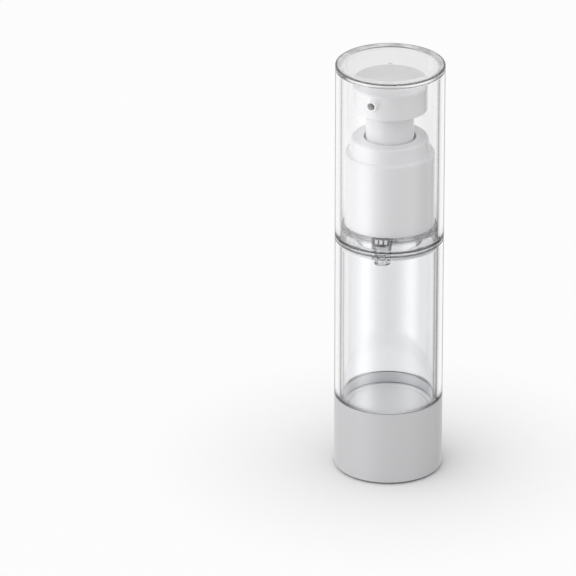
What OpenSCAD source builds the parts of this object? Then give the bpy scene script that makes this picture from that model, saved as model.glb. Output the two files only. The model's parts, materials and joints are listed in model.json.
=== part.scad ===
// Airless pump bottle with a clear double wall, a straight overcap and a push button pump.
// The base stands on z = 0, the bottle's axis is Z and the nozzle points along -Y.

/* [Bottle] */
// Outer diameter of the base, the sleeve, the ring and the cap
body_d = 30; // [26:0.5:40]
// Wall of the outer sleeve
sleeve_wall = 1.5; // [1.2:0.1:1.8]
// Length of the outer sleeve that shows between the base and the ring
sleeve_h = 47.5; // [38:0.5:80]
// Radial gap between the outer sleeve and the inner bottle
sleeve_gap = 0.25; // [0.1:0.05:0.4]
// Wall of the inner bottle
bottle_wall = 0.65; // [0.5:0.05:0.9]
// Thickness of the inner bottle's shoulder
shoulder_t = 1.0; // [0.8:0.1:1.5]

/* [Neck] */
// Wall of the neck
neck_wall = 1.5; // [1.2:0.1:1.8]
// Depth of the snap bead round the neck
neck_bead = 0.32; // [0.2:0.02:0.36]
// Height of the snap bead round the neck
neck_bead_h = 1.4; // [1:0.1:2]
// Distance from the neck's top down to the snap bead
neck_bead_drop = 3.2; // [2:0.1:5]

/* [Base cup] */
// Height of the base cup
base_h = 21.5; // [19:0.5:30]
// Thickness of the floor
base_floor_t = 1.6; // [1.2:0.1:2.4]
// Depth of the recess under the floor
foot_recess = 0.8; // [0.4:0.1:1.5]
// Width of the ring that the bottle stands on
foot_w = 2.2; // [1.5:0.1:4]
// Height of the step round the foot, which keeps the skin off the table
foot_step_h = 0.6; // [0.3:0.1:0.9]
// Depth of that step
foot_step = 0.5; // [0.2:0.1:0.9]
// Radius of the outer edge above the step
base_edge = 0.2; // [0.1:0.05:0.4]
// Diameter of the vent hole in the floor
vent_d = 1.5; // [1:0.1:3]
// Thickness of the ribs that the follower piston rests on
rest_rib_t = 1.2; // [0.8:0.1:2]
// Number of those ribs
rest_rib_count = 6; // [4:1:12]
// Depth of the socket in the rim that takes the sleeve's spigot
sleeve_socket_h = 3.1; // [2:0.1:5]
// Wall of the sleeve's spigot
sleeve_spigot_wall = 0.7; // [0.5:0.05:0.9]
// Depth of the snap bead at the inner bottle's foot
foot_bead = 0.15; // [0.1:0.01:0.2]
// Height of the snap bead at the inner bottle's foot
foot_bead_h = 1.2; // [0.8:0.1:2]
// Height of that snap bead above the inner bottle's lower end
foot_bead_rise = 2.4; // [1.5:0.1:4]

/* [Follower piston] */
// Height of the follower piston
follower_h = 12.9; // [10:0.1:15]
// How far its top rests below the rim of the base cup
follower_drop = 3.0; // [2:0.1:5]
// Wall of its skirt
follower_wall = 1.0; // [0.8:0.1:1.4]
// Thickness of its crown
follower_crown_t = 1.2; // [0.8:0.1:2]
// Depth of the groove behind its upper lip
follower_groove_h = 1.4; // [0.8:0.1:2.5]
// Width of the groove behind its upper lip
follower_groove_w = 0.8; // [0.5:0.1:1.2]
// Height of each wiper lip
follower_lip_h = 2.2; // [1.4:0.1:3]
// How far the skirt stands back from the lips
follower_relief = 0.35; // [0.2:0.05:0.5]

/* [Shoulder ring] */
// Thickness of the flange that shows between the sleeve and the cap
flange_t = 1.0; // [0.8:0.1:2]
// Depth of the step that centres the ring in the sleeve
ring_step = 0.5; // [0.4:0.1:1]
// Height of the spigot inside the cap
spigot_h = 3.7; // [3:0.1:4.4]
// Thickness of the lip at the spigot's top that carries the collar
spigot_lip_t = 1.2; // [0.8:0.1:1.4]
// Depth of the bead round the spigot that holds the cap
spigot_bead = 0.12; // [0.06:0.02:0.2]
// Height of the bead round the spigot
spigot_bead_h = 0.8; // [0.5:0.1:1]
// Bearing of the index peg, counted from the nozzle's side
peg_angle = 16.8; // [-60:0.2:60]
// Diameter of the index peg
peg_d = 3.1; // [2.8:0.1:3.4]
// Depth that the index peg reaches under the shoulder's top
peg_len = 1.4; // [1:0.1:3]
// Free depth of the well under the index peg
peg_room = 0.9; // [0.4:0.1:2]
// Wall of the well that holds the index peg
well_wall = 0.55; // [0.4:0.05:0.8]
// Floor thickness of that well
well_floor_t = 0.5; // [0.4:0.1:1]
// Widest diameter of the key boss above the flange
boss_d = 5.4; // [5:0.1:6.2]
// Width of the pocket in the key boss
boss_pocket_w = 3.4; // [3:0.1:3.8]
// Radial depth of the pocket in the key boss
boss_pocket_d = 0.9; // [0.6:0.1:1.1]
// Thickness of the two ribs across that pocket
boss_rib_t = 0.35; // [0.25:0.05:0.5]

/* [Overcap] */
// Height of the overcap
cap_h = 50; // [44.5:0.5:60]
// Gap between the button and the inside of the overcap's top
cap_headroom = 3.8; // [3:0.1:5]
// Side wall of the overcap
cap_wall = 1.6; // [1.3:0.1:1.7]
// Thickness of the overcap's top
cap_top_t = 1.6; // [1.2:0.1:2.4]
// Radius of the upper outer edge
cap_edge = 0.35; // [0.2:0.05:1.2]
// Radius of the corner inside the top
cap_corner = 0.5; // [0.3:0.1:1.5]
// Diameter of the gate mark on the top
gate_d = 1.2; // [0.8:0.1:2]
// Depth of the gate mark
gate_h = 0.15; // [0.05:0.05:0.4]

/* [Collar] */
// Radial gap between the collar and the overcap
cap_gap = 1.0; // [0.9:0.05:1.1]
// Wall of the collar
collar_wall = 0.85; // [0.75:0.05:0.95]
// Height of the collar's step above the snap fitment
collar_rise = 5.0; // [4:0.1:6]
// Radius of the edge where the collar steps in
collar_edge = 0.4; // [0.2:0.1:0.6]
// Height of the raised ring on the collar
crown_h = 4.36; // [3.8:0.02:6]
// Width of the step round the raised ring's foot
crown_step = 1.2; // [1:0.1:1.4]
// How far the raised ring draws in towards its top
crown_draft = 0.7; // [0.5:0.1:1]
// Radius of the raised ring's upper edge
crown_edge = 0.8; // [0.4:0.1:1]
// Thickness of the raised ring's top and wall
crown_t = 1.2; // [0.9:0.1:1.5]
// Diameter of the opening round the button's skirt
opening_d = 14.3; // [14:0.1:14.8]
// Wall of the sleeve that lines the opening
lining_wall = 0.9; // [0.7:0.1:1.1]
// Depth of the sleeve that lines the opening
lining_h = 2.9; // [2:0.1:3.4]

/* [Push button] */
// Radial gap between the button and the overcap
head_room = 3.15; // [2.9:0.05:3.9]
// Height of the button
head_h = 7.1; // [6.6:0.1:8.5]
// Gap between the button and the collar at rest
head_gap = 8.34; // [7.6:0.02:9]
// Radius of the button's upper edge
head_edge = 0.75; // [0.3:0.05:1]
// Radius of the button's lower edge
head_foot_edge = 0.25; // [0.1:0.05:0.5]
// Thickness of the button's top
head_top_t = 1.3; // [1:0.1:1.6]
// Wall of the button
head_wall = 1.05; // [0.9:0.05:1.4]
// Diameter of the button's skirt
skirt_d = 13.2; // [12.6:0.1:13.4]
// Wall of the button's skirt
skirt_wall = 0.9; // [0.8:0.05:1.1]
// Depth of the socket that the stem plugs into
socket_depth = 6; // [4.5:0.1:6.5]
// Wall round that socket
socket_wall = 1.2; // [1:0.1:1.5]
// Number of stiffening ribs under the button, the nozzle's duct counted as one
head_rib_count = 6; // [4:1:10]
// Thickness of those ribs
head_rib_t = 0.9; // [0.7:0.1:1.2]
// Height of those ribs
head_rib_h = 3.5; // [2:0.1:4]

/* [Nozzle] */
// Distance from the button's top down to the nozzle's axis
nozzle_drop = 2.8; // [2.7:0.1:3.4]
// Outer diameter of the nozzle insert
nozzle_d = 3.1; // [2.8:0.1:3.3]
// How far the nozzle insert stands out of the button
nozzle_reach = 1.2; // [0.6:0.1:1.5]
// Diameter of the nozzle's mouth
mouth_d = 2.0; // [1.6:0.05:2.2]
// Depth of the nozzle's mouth
mouth_depth = 2.2; // [1.4:0.1:3]
// Diameter of the orifice behind the mouth
orifice_d = 0.8; // [0.5:0.1:1]
// Length of the nozzle's plug inside the button
nozzle_plug_len = 2.6; // [1.8:0.1:3.2]
// Step between the nozzle's outside and its plug
nozzle_step = 0.2; // [0.15:0.05:0.3]
// Depth of the flat that the nozzle insert seats on
nozzle_flat = 0.12; // [0.1:0.01:0.3]
// Diameter of the product duct in the button
duct_d = 1.6; // [1:0.1:1.8]
// Wall round the nozzle's plug
duct_wall = 0.9; // [0.7:0.1:1]

/* [Pump] */
// Stroke of the push button
stroke = 7; // [5:0.1:7.2]
// Free travel between the stem and the pump piston
lost_motion = 0.8; // [0.5:0.1:1.2]
// Bore of the pump chamber
chamber_d = 7.2; // [6.6:0.1:8]
// Wall of the pump chamber
chamber_wall = 1.0; // [0.8:0.1:1.4]
// Thickness of the pump housing's flange
housing_flange_t = 1.2; // [1:0.1:1.6]
// Thickness of the chamber's floor
chamber_floor_t = 1.0; // [0.8:0.1:1.4]
// Thickness of the neck gasket
gasket_t = 0.8; // [0.5:0.1:1.2]
// How far the neck gasket reaches in past the neck's wall
gasket_lip = 0.5; // [0.2:0.1:0.8]
// Outer diameter of the stem
stem_d = 4.8; // [4.4:0.1:5]
// Diameter of the channel in the stem
channel_d = 2.4; // [2:0.1:2.6]
// Thickness of the stem's spring flange
stem_flange_t = 0.8; // [0.6:0.1:1.2]
// Diameter of the stem foot's shank
shank_d = 3.2; // [3:0.1:3.4]
// Bore of the stem foot
shank_bore_d = 1.6; // [1.2:0.1:1.8]
// Length of the stem foot's plug inside the stem
foot_plug_len = 4.3; // [3:0.1:6]
// Diameter of the stem foot
foot_d = 5.8; // [5:0.1:6.2]
// Thickness of the stem foot
foot_t = 1.0; // [0.7:0.1:1.4]
// Diameter of the cross port above the stem foot
port_d = 1.0; // [0.7:0.1:1.2]
// Height of the pump piston
piston_h = 4.0; // [3.4:0.1:4.6]
// Wall of the pump piston's hub and of its outer sleeve
piston_wall = 0.55; // [0.4:0.05:0.6]
// Length of the stem guide's plug inside the chamber
guide_plug_len = 1.6; // [1.2:0.1:2.2]
// Thickness of the stem guide's flange
guide_flange_t = 1.0; // [0.8:0.1:1.4]
// Height of the stem guide's tube above its flange
guide_tube_h = 3.6; // [2.5:0.1:5]
// Wall of the stem guide's tube
guide_wall = 1.1; // [0.9:0.05:1.2]

/* [Inlet valve] */
// Diameter of the inlet ball
ball_d = 3.0; // [2.6:0.1:3.2]
// How far the ball lifts
ball_lift = 1.0; // [0.6:0.1:1.2]
// Diameter of the inlet
inlet_d = 1.8; // [1.4:0.1:2]
// Length of the inlet under the ball's seat
inlet_len = 1.0; // [0.6:0.1:2]
// Wall of the ball's cage
cage_wall = 0.8; // [0.6:0.1:1.2]
// Number of lugs that keep the ball in its cage
lug_count = 4; // [3:1:6]
// Width of each lug
lug_w = 0.8; // [0.5:0.1:1]

/* [Return spring] */
// Diameter of the spring's wire
wire_d = 0.6; // [0.4:0.05:0.7]
// Mean diameter of the coil
coil_d = 8.6; // [8.4:0.1:9]
// Number of turns
coil_turns = 8; // [6:1:9]
// Pitch of the closed turn at each end
end_pitch = 1.05; // [1:0.05:1.2]

/* [Snap fitment] */
// Wall of the snap fitment
fitment_wall = 1.1; // [0.9:0.05:1.2]
// Thickness of the snap fitment's top
fitment_top_t = 1.2; // [1:0.1:1.6]
// Gap between the snap fitment's foot and the ring's spigot
fitment_foot_gap = 1.0; // [0.4:0.1:2]
// Height of the snap fitment's inner bead
fitment_bead_h = 1.0; // [0.7:0.1:1.4]
// Width of the snap fitment's lip over the stem guide
fitment_lip = 1.6; // [1.2:0.1:1.7]
// Depth of the ribs that centre the collar on the snap fitment
fitment_rib_depth = 1.0; // [0.8:0.1:1.1]
// Number of those ribs
fitment_rib_count = 18; // [8:1:30]
// Width of those ribs
fitment_rib_w = 1.0; // [0.6:0.1:1.4]

/* [Clearances] */
// Radial clearance of a sliding or turning fit
run_fit = 0.05; // [0.02:0.01:0.08]
// Radial clearance of a pressed or snapped seat
seat_fit = 0.03; // [0.02:0.01:0.05]
// Gap between pieces that never touch
free_gap = 0.4; // [0.3:0.05:0.45]
// Axial play where a moving piece meets its stop
stop_gap = 0.05; // [0.03:0.01:0.1]

/* [Hidden] */

// Segments of a full turn, and steps of a rounded edge
turn_fn = 96;
edge_steps = 6;
// One overrun for every cut that passes through a face
cut = body_d / 100;
// Radius of the ball where the cage lugs meet it, as a share of the ball's own
lug_share = 0.88;
// Width of a wiper lip's root, as a share of how far the skirt stands back
lip_share = 1.6;

// Radii from the outside in
body_r = body_d / 2;
sleeve_ir = body_r - sleeve_wall;
bottle_r = sleeve_ir - sleeve_gap;
bottle_ir = bottle_r - bottle_wall;
base_ir = bottle_r + run_fit;
spigot_seat_r = sleeve_ir + sleeve_spigot_wall + seat_fit;
cap_ir = body_r - cap_wall;
spigot_bead_r = cap_ir - run_fit;
spigot_r = spigot_bead_r - spigot_bead;
collar_r = cap_ir - cap_gap;
collar_ir = collar_r - collar_wall;
spigot_ir = collar_r + seat_fit * 3;
spigot_lip_ir = collar_ir;
fitment_rib_r = collar_ir - seat_fit;
fitment_r = fitment_rib_r - fitment_rib_depth;
fitment_ir = fitment_r - fitment_wall;
neck_r = fitment_ir - run_fit * 2 - neck_bead;
neck_ir = neck_r - neck_wall;
fitment_lip_r = neck_r - fitment_lip;
ring_ir = neck_r + free_gap;

// Heights of the bottle, from the ground up
floor_top = foot_recess + base_floor_t;
follower_z1 = base_h - follower_drop;
follower_z0 = follower_z1 - follower_h;
sleeve_z0 = base_h;
sleeve_z1 = sleeve_z0 + sleeve_h;
shoulder_z1 = sleeve_z1 - ring_step;
shoulder_z0 = shoulder_z1 - shoulder_t;
flange_z1 = sleeve_z1 + flange_t;
spigot_z1 = flange_z1 + spigot_h;
spigot_lip_z0 = spigot_z1 - spigot_lip_t;
fitment_z0 = spigot_z1 + fitment_foot_gap;
cap_z1 = flange_z1 + cap_h;

// Heights of what the cap covers, from its top down to the neck
head_z1 = cap_z1 - cap_top_t - cap_headroom;
head_z0 = head_z1 - head_h;
crown_z1 = head_z0 - head_gap;
collar_z1 = crown_z1 - crown_h;
fitment_z1 = collar_z1 - collar_rise;
guide_flange_z1 = fitment_z1 - fitment_top_t;
housing_z1 = guide_flange_z1 - guide_flange_t;
housing_flange_z0 = housing_z1 - housing_flange_t;
neck_z1 = housing_flange_z0 - gasket_t;

// The pump, worked out from the guide downwards
guide_plug_z0 = housing_z1 - guide_plug_len;
piston_z1 = guide_plug_z0 - lost_motion - stop_gap * 2;
piston_z0 = piston_z1 - piston_h;
stem_z0 = piston_z1 + lost_motion + stop_gap;
foot_z1 = piston_z0 - stop_gap;
foot_z0 = foot_z1 - foot_t;
chamber_z0 = foot_z0 - stroke - free_gap;
chamber_r = chamber_d / 2;
housing_r = chamber_r + chamber_wall;
housing_flange_r = neck_r + seat_fit * 3;
stem_r = stem_d / 2;
stem_bore_r = stem_r + run_fit;
plug_r = channel_d / 2 + seat_fit * 6;
port_z = foot_z1 + port_d / 2 + stop_gap;

// The inlet valve: the ball rests on a cone of 45 degrees under its cage
ball_r = ball_d / 2;
cage_r = ball_r + free_gap / 2;
inlet_r = inlet_d / 2;
lug_ir = ball_r * lug_share;
lug_rise = sqrt(ball_r * ball_r - lug_ir * lug_ir);
lug_h = free_gap;
ball_z = chamber_z0 - lug_h - lug_rise - ball_lift - stop_gap;
seat_z = ball_z - sqrt(2) * ball_r + inlet_r - stop_gap / 2;
inlet_z0 = seat_z - inlet_len;

// The button, its duct and the stem that carries it
head_r = cap_ir - head_room;
skirt_r = skirt_d / 2;
skirt_ir = skirt_r - skirt_wall;
skirt_z0 = fitment_z1 + stroke + free_gap;
head_inside_z1 = head_z1 - head_top_t;
nozzle_z = head_z1 - nozzle_drop;
nozzle_r = nozzle_d / 2;
duct_r = duct_d / 2;
stem_z1 = nozzle_z - duct_r - duct_wall / 2;
socket_z0 = stem_z1 - socket_depth;
socket_r = stem_r + run_fit + socket_wall;
opening_r = opening_d / 2;

// The spring stands on the guide's flange under the stem's flange
spring_z0 = guide_flange_z1;
stem_flange_z1 = socket_z0 - stop_gap;
spring_z1 = stem_flange_z1 - stem_flange_t;
coil_r = coil_d / 2;
wire_r = wire_d / 2;
stem_flange_r = coil_r + wire_r + free_gap / 2;
wire_sides = 8;
rings_per_turn = 20;
body_pitch = (spring_z1 - spring_z0 - wire_d - 2 * end_pitch) / (coil_turns - 2);

// The index peg stands where its well grows out of the inner bottle's wall
peg_r = peg_d / 2;
well_ir = peg_r + seat_fit * 3;
well_r = well_ir + well_wall;
peg_reach = bottle_r - well_r;
peg_z0 = shoulder_z1 - peg_len;
well_z0 = peg_z0 - peg_room - well_floor_t;
boss_r = boss_d / 2;

// How far the follower piston can climb before it meets the well or the inlet
follower_travel = min(well_z0, inlet_z0) - follower_z1 - free_gap;
echo(follower_travel = follower_travel, least_gap_between_turns = min(end_pitch, body_pitch) - wire_d);

function arc(c, r, a0, a1) = [for (i = [0:edge_steps])
    let (a = a0 + (a1 - a0) * i / edge_steps) [c[0] + r * cos(a), c[1] + r * sin(a)]];

module turned(outline) {
    rotate_extrude($fn = turn_fn) polygon(outline);
}

module tube(r0, r1, z0, z1) {
    turned([[r0, z0], [r1, z0], [r1, z1], [r0, z1]]);
}

module rod(r, z0, z1) {
    translate([0, 0, z0]) cylinder(r = r, h = z1 - z0, $fn = turn_fn);
}

// A rod along the nozzle's axis, from the radius y0 out to the radius y1
module nozzle_rod(r, y0, y1) {
    translate([0, -y0, nozzle_z]) rotate([90, 0, 0]) cylinder(r = r, h = y1 - y0, $fn = turn_fn);
}

module at_peg() {
    rotate([0, 0, peg_angle]) translate([0, -peg_reach, 0]) children();
}

module base_cup() {
    groove_r = base_ir + foot_bead + seat_fit;
    groove_z0 = floor_top + foot_bead_rise - seat_fit;
    groove_z1 = groove_z0 + foot_bead_h + 2 * seat_fit;
    socket_z0 = base_h - sleeve_socket_h;
    foot_r = body_r - foot_w;
    rib_r = bottle_ir - free_gap;
    color([0.79, 0.79, 0.80]) difference() {
        union() {
            turned(concat(
                [[0, foot_recess], [foot_r - foot_recess / 2, foot_recess], [foot_r, 0],
                [body_r - foot_step, 0], [body_r - foot_step, foot_step_h]],
                arc([body_r - base_edge, foot_step_h + base_edge], base_edge, -90, 0),
                [[body_r, base_h], [spigot_seat_r, base_h], [spigot_seat_r, socket_z0],
                [base_ir, socket_z0], [base_ir, groove_z1], [groove_r, groove_z1 - foot_bead],
                [groove_r, groove_z0 + foot_bead], [base_ir, groove_z0], [base_ir, floor_top],
                [0, floor_top]]));
            for (i = [0:rest_rib_count - 1])
                rotate([0, 0, (i + 0.5) * 360 / rest_rib_count])
                    translate([vent_d, -rest_rib_t / 2, foot_recess + base_floor_t / 2])
                        cube([rib_r - vent_d, rest_rib_t, follower_z0 - foot_recess - base_floor_t / 2]);
        }
        rod(vent_d / 2, -cut, floor_top + cut);
    }
}

module follower_piston() {
    lip_r = bottle_ir - run_fit;
    skirt_r = lip_r - follower_relief;
    inner_r = skirt_r - follower_wall;
    tip = follower_relief * lip_share;
    groove_r1 = lip_r - tip;
    groove_r0 = groove_r1 - follower_groove_w;
    crown_z0 = follower_z1 - follower_crown_t;
    groove_z0 = follower_z1 - follower_groove_h - follower_crown_t;
    dish_r = groove_r0 - follower_relief - follower_wall;
    color([0.93, 0.93, 0.93]) turned([
        [0, follower_z1],
        [groove_r0 - follower_relief, follower_z1],
        [groove_r0, follower_z1 - follower_relief],
        [groove_r0 + follower_relief / 2, follower_z1 - follower_groove_h],
        [groove_r1 - follower_relief / 2, follower_z1 - follower_groove_h],
        [groove_r1, follower_z1 - follower_relief],
        [lip_r - follower_relief / 2, follower_z1],
        [lip_r, follower_z1 - follower_relief / 2],
        [lip_r, follower_z1 - follower_relief],
        [skirt_r, follower_z1 - follower_lip_h],
        [skirt_r, follower_z0 + follower_lip_h],
        [lip_r, follower_z0 + follower_relief],
        [lip_r, follower_z0 + follower_relief / 2],
        [lip_r - follower_relief / 2, follower_z0],
        [lip_r - tip, follower_z0],
        [inner_r, follower_z0 + follower_lip_h],
        [inner_r, groove_z0 - follower_wall],
        [inner_r - follower_wall / 2, groove_z0],
        [dish_r, groove_z0],
        [dish_r - follower_wall / 2, crown_z0],
        [0, crown_z0]]);
}

module inner_bottle() {
    bead_r = bottle_r + foot_bead;
    bead_z0 = floor_top + foot_bead_rise;
    bead_z1 = bead_z0 + foot_bead_h;
    snap_z1 = neck_z1 - neck_bead_drop;
    snap_z0 = snap_z1 - neck_bead_h;
    snap_r = neck_r + neck_bead;
    lead = neck_wall / 4;
    color([0.86, 0.87, 0.89, 0.4]) difference() {
        union() {
            turned(concat(
                [[bottle_ir, floor_top], [bottle_r, floor_top], [bottle_r, bead_z0],
                [bead_r, bead_z0 + foot_bead], [bead_r, bead_z1 - foot_bead], [bottle_r, bead_z1]],
                arc([bottle_r - bottle_wall, shoulder_z1 - bottle_wall], bottle_wall, 0, 90),
                [[neck_r, shoulder_z1], [neck_r, snap_z0], [snap_r, snap_z0],
                [snap_r, snap_z0 + neck_bead], [neck_r, snap_z1], [neck_r, neck_z1 - lead],
                [neck_r - lead, neck_z1], [neck_ir, neck_z1], [neck_ir, shoulder_z0]],
                arc([bottle_ir - bottle_wall, shoulder_z0 - bottle_wall], bottle_wall, 90, 0)));
            intersection() {
                at_peg() turned(concat(
                    [[0, shoulder_z1 - shoulder_t / 2], [0, well_z0]],
                    arc([well_r - well_floor_t, well_z0 + well_floor_t], well_floor_t, -90, 0),
                    [[well_r, shoulder_z1 - shoulder_t / 2]]));
                rod(bottle_r - bottle_wall / 2, well_z0 - cut, shoulder_z1);
            }
        }
        // The well's bore, which leaves the neck above the shoulder whole
        intersection() {
            at_peg() rod(well_ir, well_z0 + well_floor_t, shoulder_z1 + cut);
            turned([
                [0, well_z0], [body_r, well_z0], [body_r, shoulder_z1 + 2 * cut],
                [neck_r, shoulder_z1 + 2 * cut], [neck_r, shoulder_z1], [0, shoulder_z1]]);
        }
    }
}

module outer_sleeve() {
    plug_r1 = sleeve_ir + sleeve_spigot_wall;
    plug_z0 = sleeve_z0 - sleeve_socket_h + seat_fit;
    lead = sleeve_spigot_wall / 3;
    edge = sleeve_wall / 8;
    color([0.86, 0.87, 0.89, 0.4]) turned([
        [sleeve_ir, plug_z0], [plug_r1 - lead, plug_z0], [plug_r1, plug_z0 + lead],
        [plug_r1, sleeve_z0], [body_r - edge, sleeve_z0], [body_r, sleeve_z0 + edge],
        [body_r, sleeve_z1 - edge], [body_r - edge, sleeve_z1], [sleeve_ir, sleeve_z1]]);
}

module shoulder_ring() {
    step_r = sleeve_ir - seat_fit;
    bead_z1 = spigot_z1 - spigot_bead_h;
    bead_z0 = bead_z1 - spigot_bead_h;
    top_edge = (spigot_r - spigot_ir) / 3;
    edge = flange_t / 6;
    pocket_z0 = flange_z1 + (spigot_z1 - flange_z1) / 3;
    cell_w = (boss_pocket_w - 2 * boss_rib_t) / 3;
    color([0.86, 0.87, 0.89, 0.4]) difference() {
        union() {
            turned([
                [spigot_ir, shoulder_z1], [step_r, shoulder_z1], [step_r, sleeve_z1],
                [body_r - edge, sleeve_z1], [body_r, sleeve_z1 + edge],
                [body_r, flange_z1 - edge], [body_r - edge, flange_z1],
                [spigot_r, flange_z1], [spigot_r, bead_z0], [spigot_bead_r, bead_z0 + spigot_bead],
                [spigot_bead_r, bead_z1 - spigot_bead], [spigot_r, bead_z1],
                [spigot_r, spigot_z1 - top_edge], [spigot_r - top_edge, spigot_z1],
                [spigot_lip_ir, spigot_z1], [spigot_lip_ir, spigot_lip_z0],
                [spigot_ir, spigot_lip_z0]]);
            // The peg below and the key boss above, kept clear of the neck and inside the spigot
            intersection() {
                at_peg() turned([
                    [0, peg_z0], [peg_r - well_floor_t, peg_z0], [peg_r, peg_z0 + well_floor_t],
                    [peg_r, sleeve_z1], [well_r, sleeve_z1], [well_r, flange_z1],
                    [boss_r, spigot_z1 - spigot_h / 3], [boss_r, spigot_z1], [0, spigot_z1]]);
                turned([
                    [0, peg_z0 - cut], [spigot_r - top_edge, peg_z0 - cut],
                    [spigot_r - top_edge, spigot_z1 + cut], [ring_ir, spigot_z1 + cut],
                    [ring_ir, shoulder_z1], [0, shoulder_z1]]);
            }
        }
        at_peg() for (i = [-1:1])
            translate([i * (cell_w + boss_rib_t) - cell_w / 2, -boss_pocket_d / 2, pocket_z0])
                cube([cell_w, boss_pocket_d, spigot_z1 - pocket_z0 + cut]);
    }
}

module neck_gasket() {
    color([0.93, 0.93, 0.91]) tube(neck_ir - gasket_lip, neck_r - seat_fit, neck_z1, housing_flange_z0);
}

module pump_housing() {
    cage_or = cage_r + cage_wall;
    mouth_r = (inlet_r + cage_or) / 2;
    lead = chamber_wall / 2;
    color([0.96, 0.96, 0.96]) {
        turned([
            [inlet_r, seat_z], [inlet_r, inlet_z0 + inlet_len / 3], [mouth_r, inlet_z0],
            [cage_or, inlet_z0], [cage_or, chamber_z0 - chamber_floor_t],
            [housing_r - lead, chamber_z0 - chamber_floor_t],
            [housing_r, chamber_z0 - chamber_floor_t + lead], [housing_r, housing_flange_z0],
            [housing_flange_r, housing_flange_z0], [housing_flange_r, housing_z1],
            [chamber_r, housing_z1], [chamber_r, chamber_z0], [cage_r, chamber_z0],
            [cage_r, seat_z + cage_r - inlet_r]]);
        intersection() {
            for (i = [0:lug_count - 1])
                rotate([0, 0, (i + 0.5) * 360 / lug_count])
                    translate([lug_ir, -lug_w / 2, chamber_z0 - lug_h])
                        cube([cage_or - lug_ir - cage_wall / 2, lug_w, lug_h]);
            tube(lug_ir, cage_r + cage_wall / 2, chamber_z0 - lug_h, chamber_z0);
        }
    }
}

module inlet_ball() {
    color([0.75, 0.76, 0.78]) translate([0, 0, ball_z]) sphere(r = ball_r, $fn = turn_fn);
}

module stem_guide() {
    plug_or = chamber_r - seat_fit;
    tube_r = stem_bore_r + guide_wall;
    tube_z1 = guide_flange_z1 + guide_tube_h;
    lead = guide_wall / 3;
    color([0.95, 0.95, 0.95]) turned([
        [stem_bore_r, guide_plug_z0], [plug_or - lead, guide_plug_z0], [plug_or, guide_plug_z0 + lead],
        [plug_or, housing_z1], [neck_r, housing_z1], [neck_r, guide_flange_z1],
        [tube_r, guide_flange_z1], [tube_r, tube_z1 - lead], [tube_r - lead, tube_z1],
        [stem_bore_r + lead, tube_z1], [stem_bore_r, tube_z1 - lead]]);
}

module snap_fitment() {
    snap_z0 = neck_z1 - neck_bead_drop - neck_bead_h;
    catch_r = neck_r + seat_fit * 2;
    catch_z1 = snap_z0 - stop_gap;
    catch_z0 = catch_z1 - fitment_bead_h;
    slope = fitment_ir - catch_r;
    lead = fitment_wall / 4;
    color([0.94, 0.94, 0.94]) {
        turned([
            [fitment_ir + lead, fitment_z0], [fitment_r, fitment_z0], [fitment_r, fitment_z1 - lead],
            [fitment_r - lead, fitment_z1], [fitment_lip_r, fitment_z1],
            [fitment_lip_r, guide_flange_z1], [fitment_ir, guide_flange_z1], [fitment_ir, catch_z1],
            [catch_r, catch_z1], [catch_r, catch_z0 + slope], [fitment_ir, catch_z0],
            [fitment_ir, fitment_z0 + lead]]);
        intersection() {
            for (i = [0:fitment_rib_count - 1])
                rotate([0, 0, i * 360 / fitment_rib_count])
                    translate([fitment_r - lead, -fitment_rib_w / 2, fitment_z0])
                        cube([fitment_rib_depth + 2 * lead, fitment_rib_w, guide_flange_z1 - fitment_z0]);
            rod(fitment_rib_r, fitment_z0, guide_flange_z1);
        }
    }
}

module collar_shell() {
    foot_r = collar_r - crown_step;
    top_r = foot_r - crown_draft;
    top_edge = min(crown_edge, (top_r - opening_r) / 2);
    shelf_z0 = collar_z1 - crown_t;
    roof_z0 = crown_z1 - crown_t;
    rim = lining_wall / 4;
    color([0.95, 0.95, 0.96]) {
        turned(concat(
            [[collar_ir, spigot_z1], [collar_r - rim, spigot_z1], [collar_r, spigot_z1 + rim]],
            arc([collar_r - collar_edge, collar_z1 - collar_edge], collar_edge, 0, 90),
            [[foot_r, collar_z1]],
            arc([top_r - top_edge, crown_z1 - top_edge], top_edge, 0, 90),
            [[opening_r + rim, crown_z1], [opening_r, crown_z1 - rim], [opening_r, roof_z0],
            [top_r - crown_t, roof_z0], [foot_r - crown_t, shelf_z0], [collar_ir, shelf_z0]]));
        tube(opening_r, opening_r + lining_wall, crown_z1 - lining_h, crown_z1 - crown_t / 2);
    }
}

// One ring of points round the wire at each step along the coil
function coil_height(turn) = spring_z0 + wire_r
    + (turn < 1 ? turn * end_pitch
    : turn > coil_turns - 1 ? end_pitch + (coil_turns - 2) * body_pitch + (turn - coil_turns + 1) * end_pitch
    : end_pitch + (turn - 1) * body_pitch);

module return_spring() {
    steps = coil_turns * rings_per_turn;
    points = [for (i = [0:steps]) let (a = 360 * i / rings_per_turn, z = coil_height(i / rings_per_turn))
        for (j = [0:wire_sides - 1]) let (b = 360 * j / wire_sides, r = coil_r + wire_r * cos(b))
            [r * cos(a), r * sin(a), z + wire_r * sin(b)]];
    sides = [for (i = [0:steps - 1], j = [0:wire_sides - 1])
        let (k = (j + 1) % wire_sides, a = i * wire_sides, b = a + wire_sides)
            each [[a + j, a + k, b + k], [a + j, b + k, b + j]]];
    first = [for (j = [1:wire_sides - 2]) [0, j + 1, j]];
    last = [for (j = [1:wire_sides - 2]) let (a = steps * wire_sides) [a, a + j, a + j + 1]];
    color([0.72, 0.73, 0.75]) polyhedron(points = points, faces = concat(sides, first, last));
}

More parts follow.
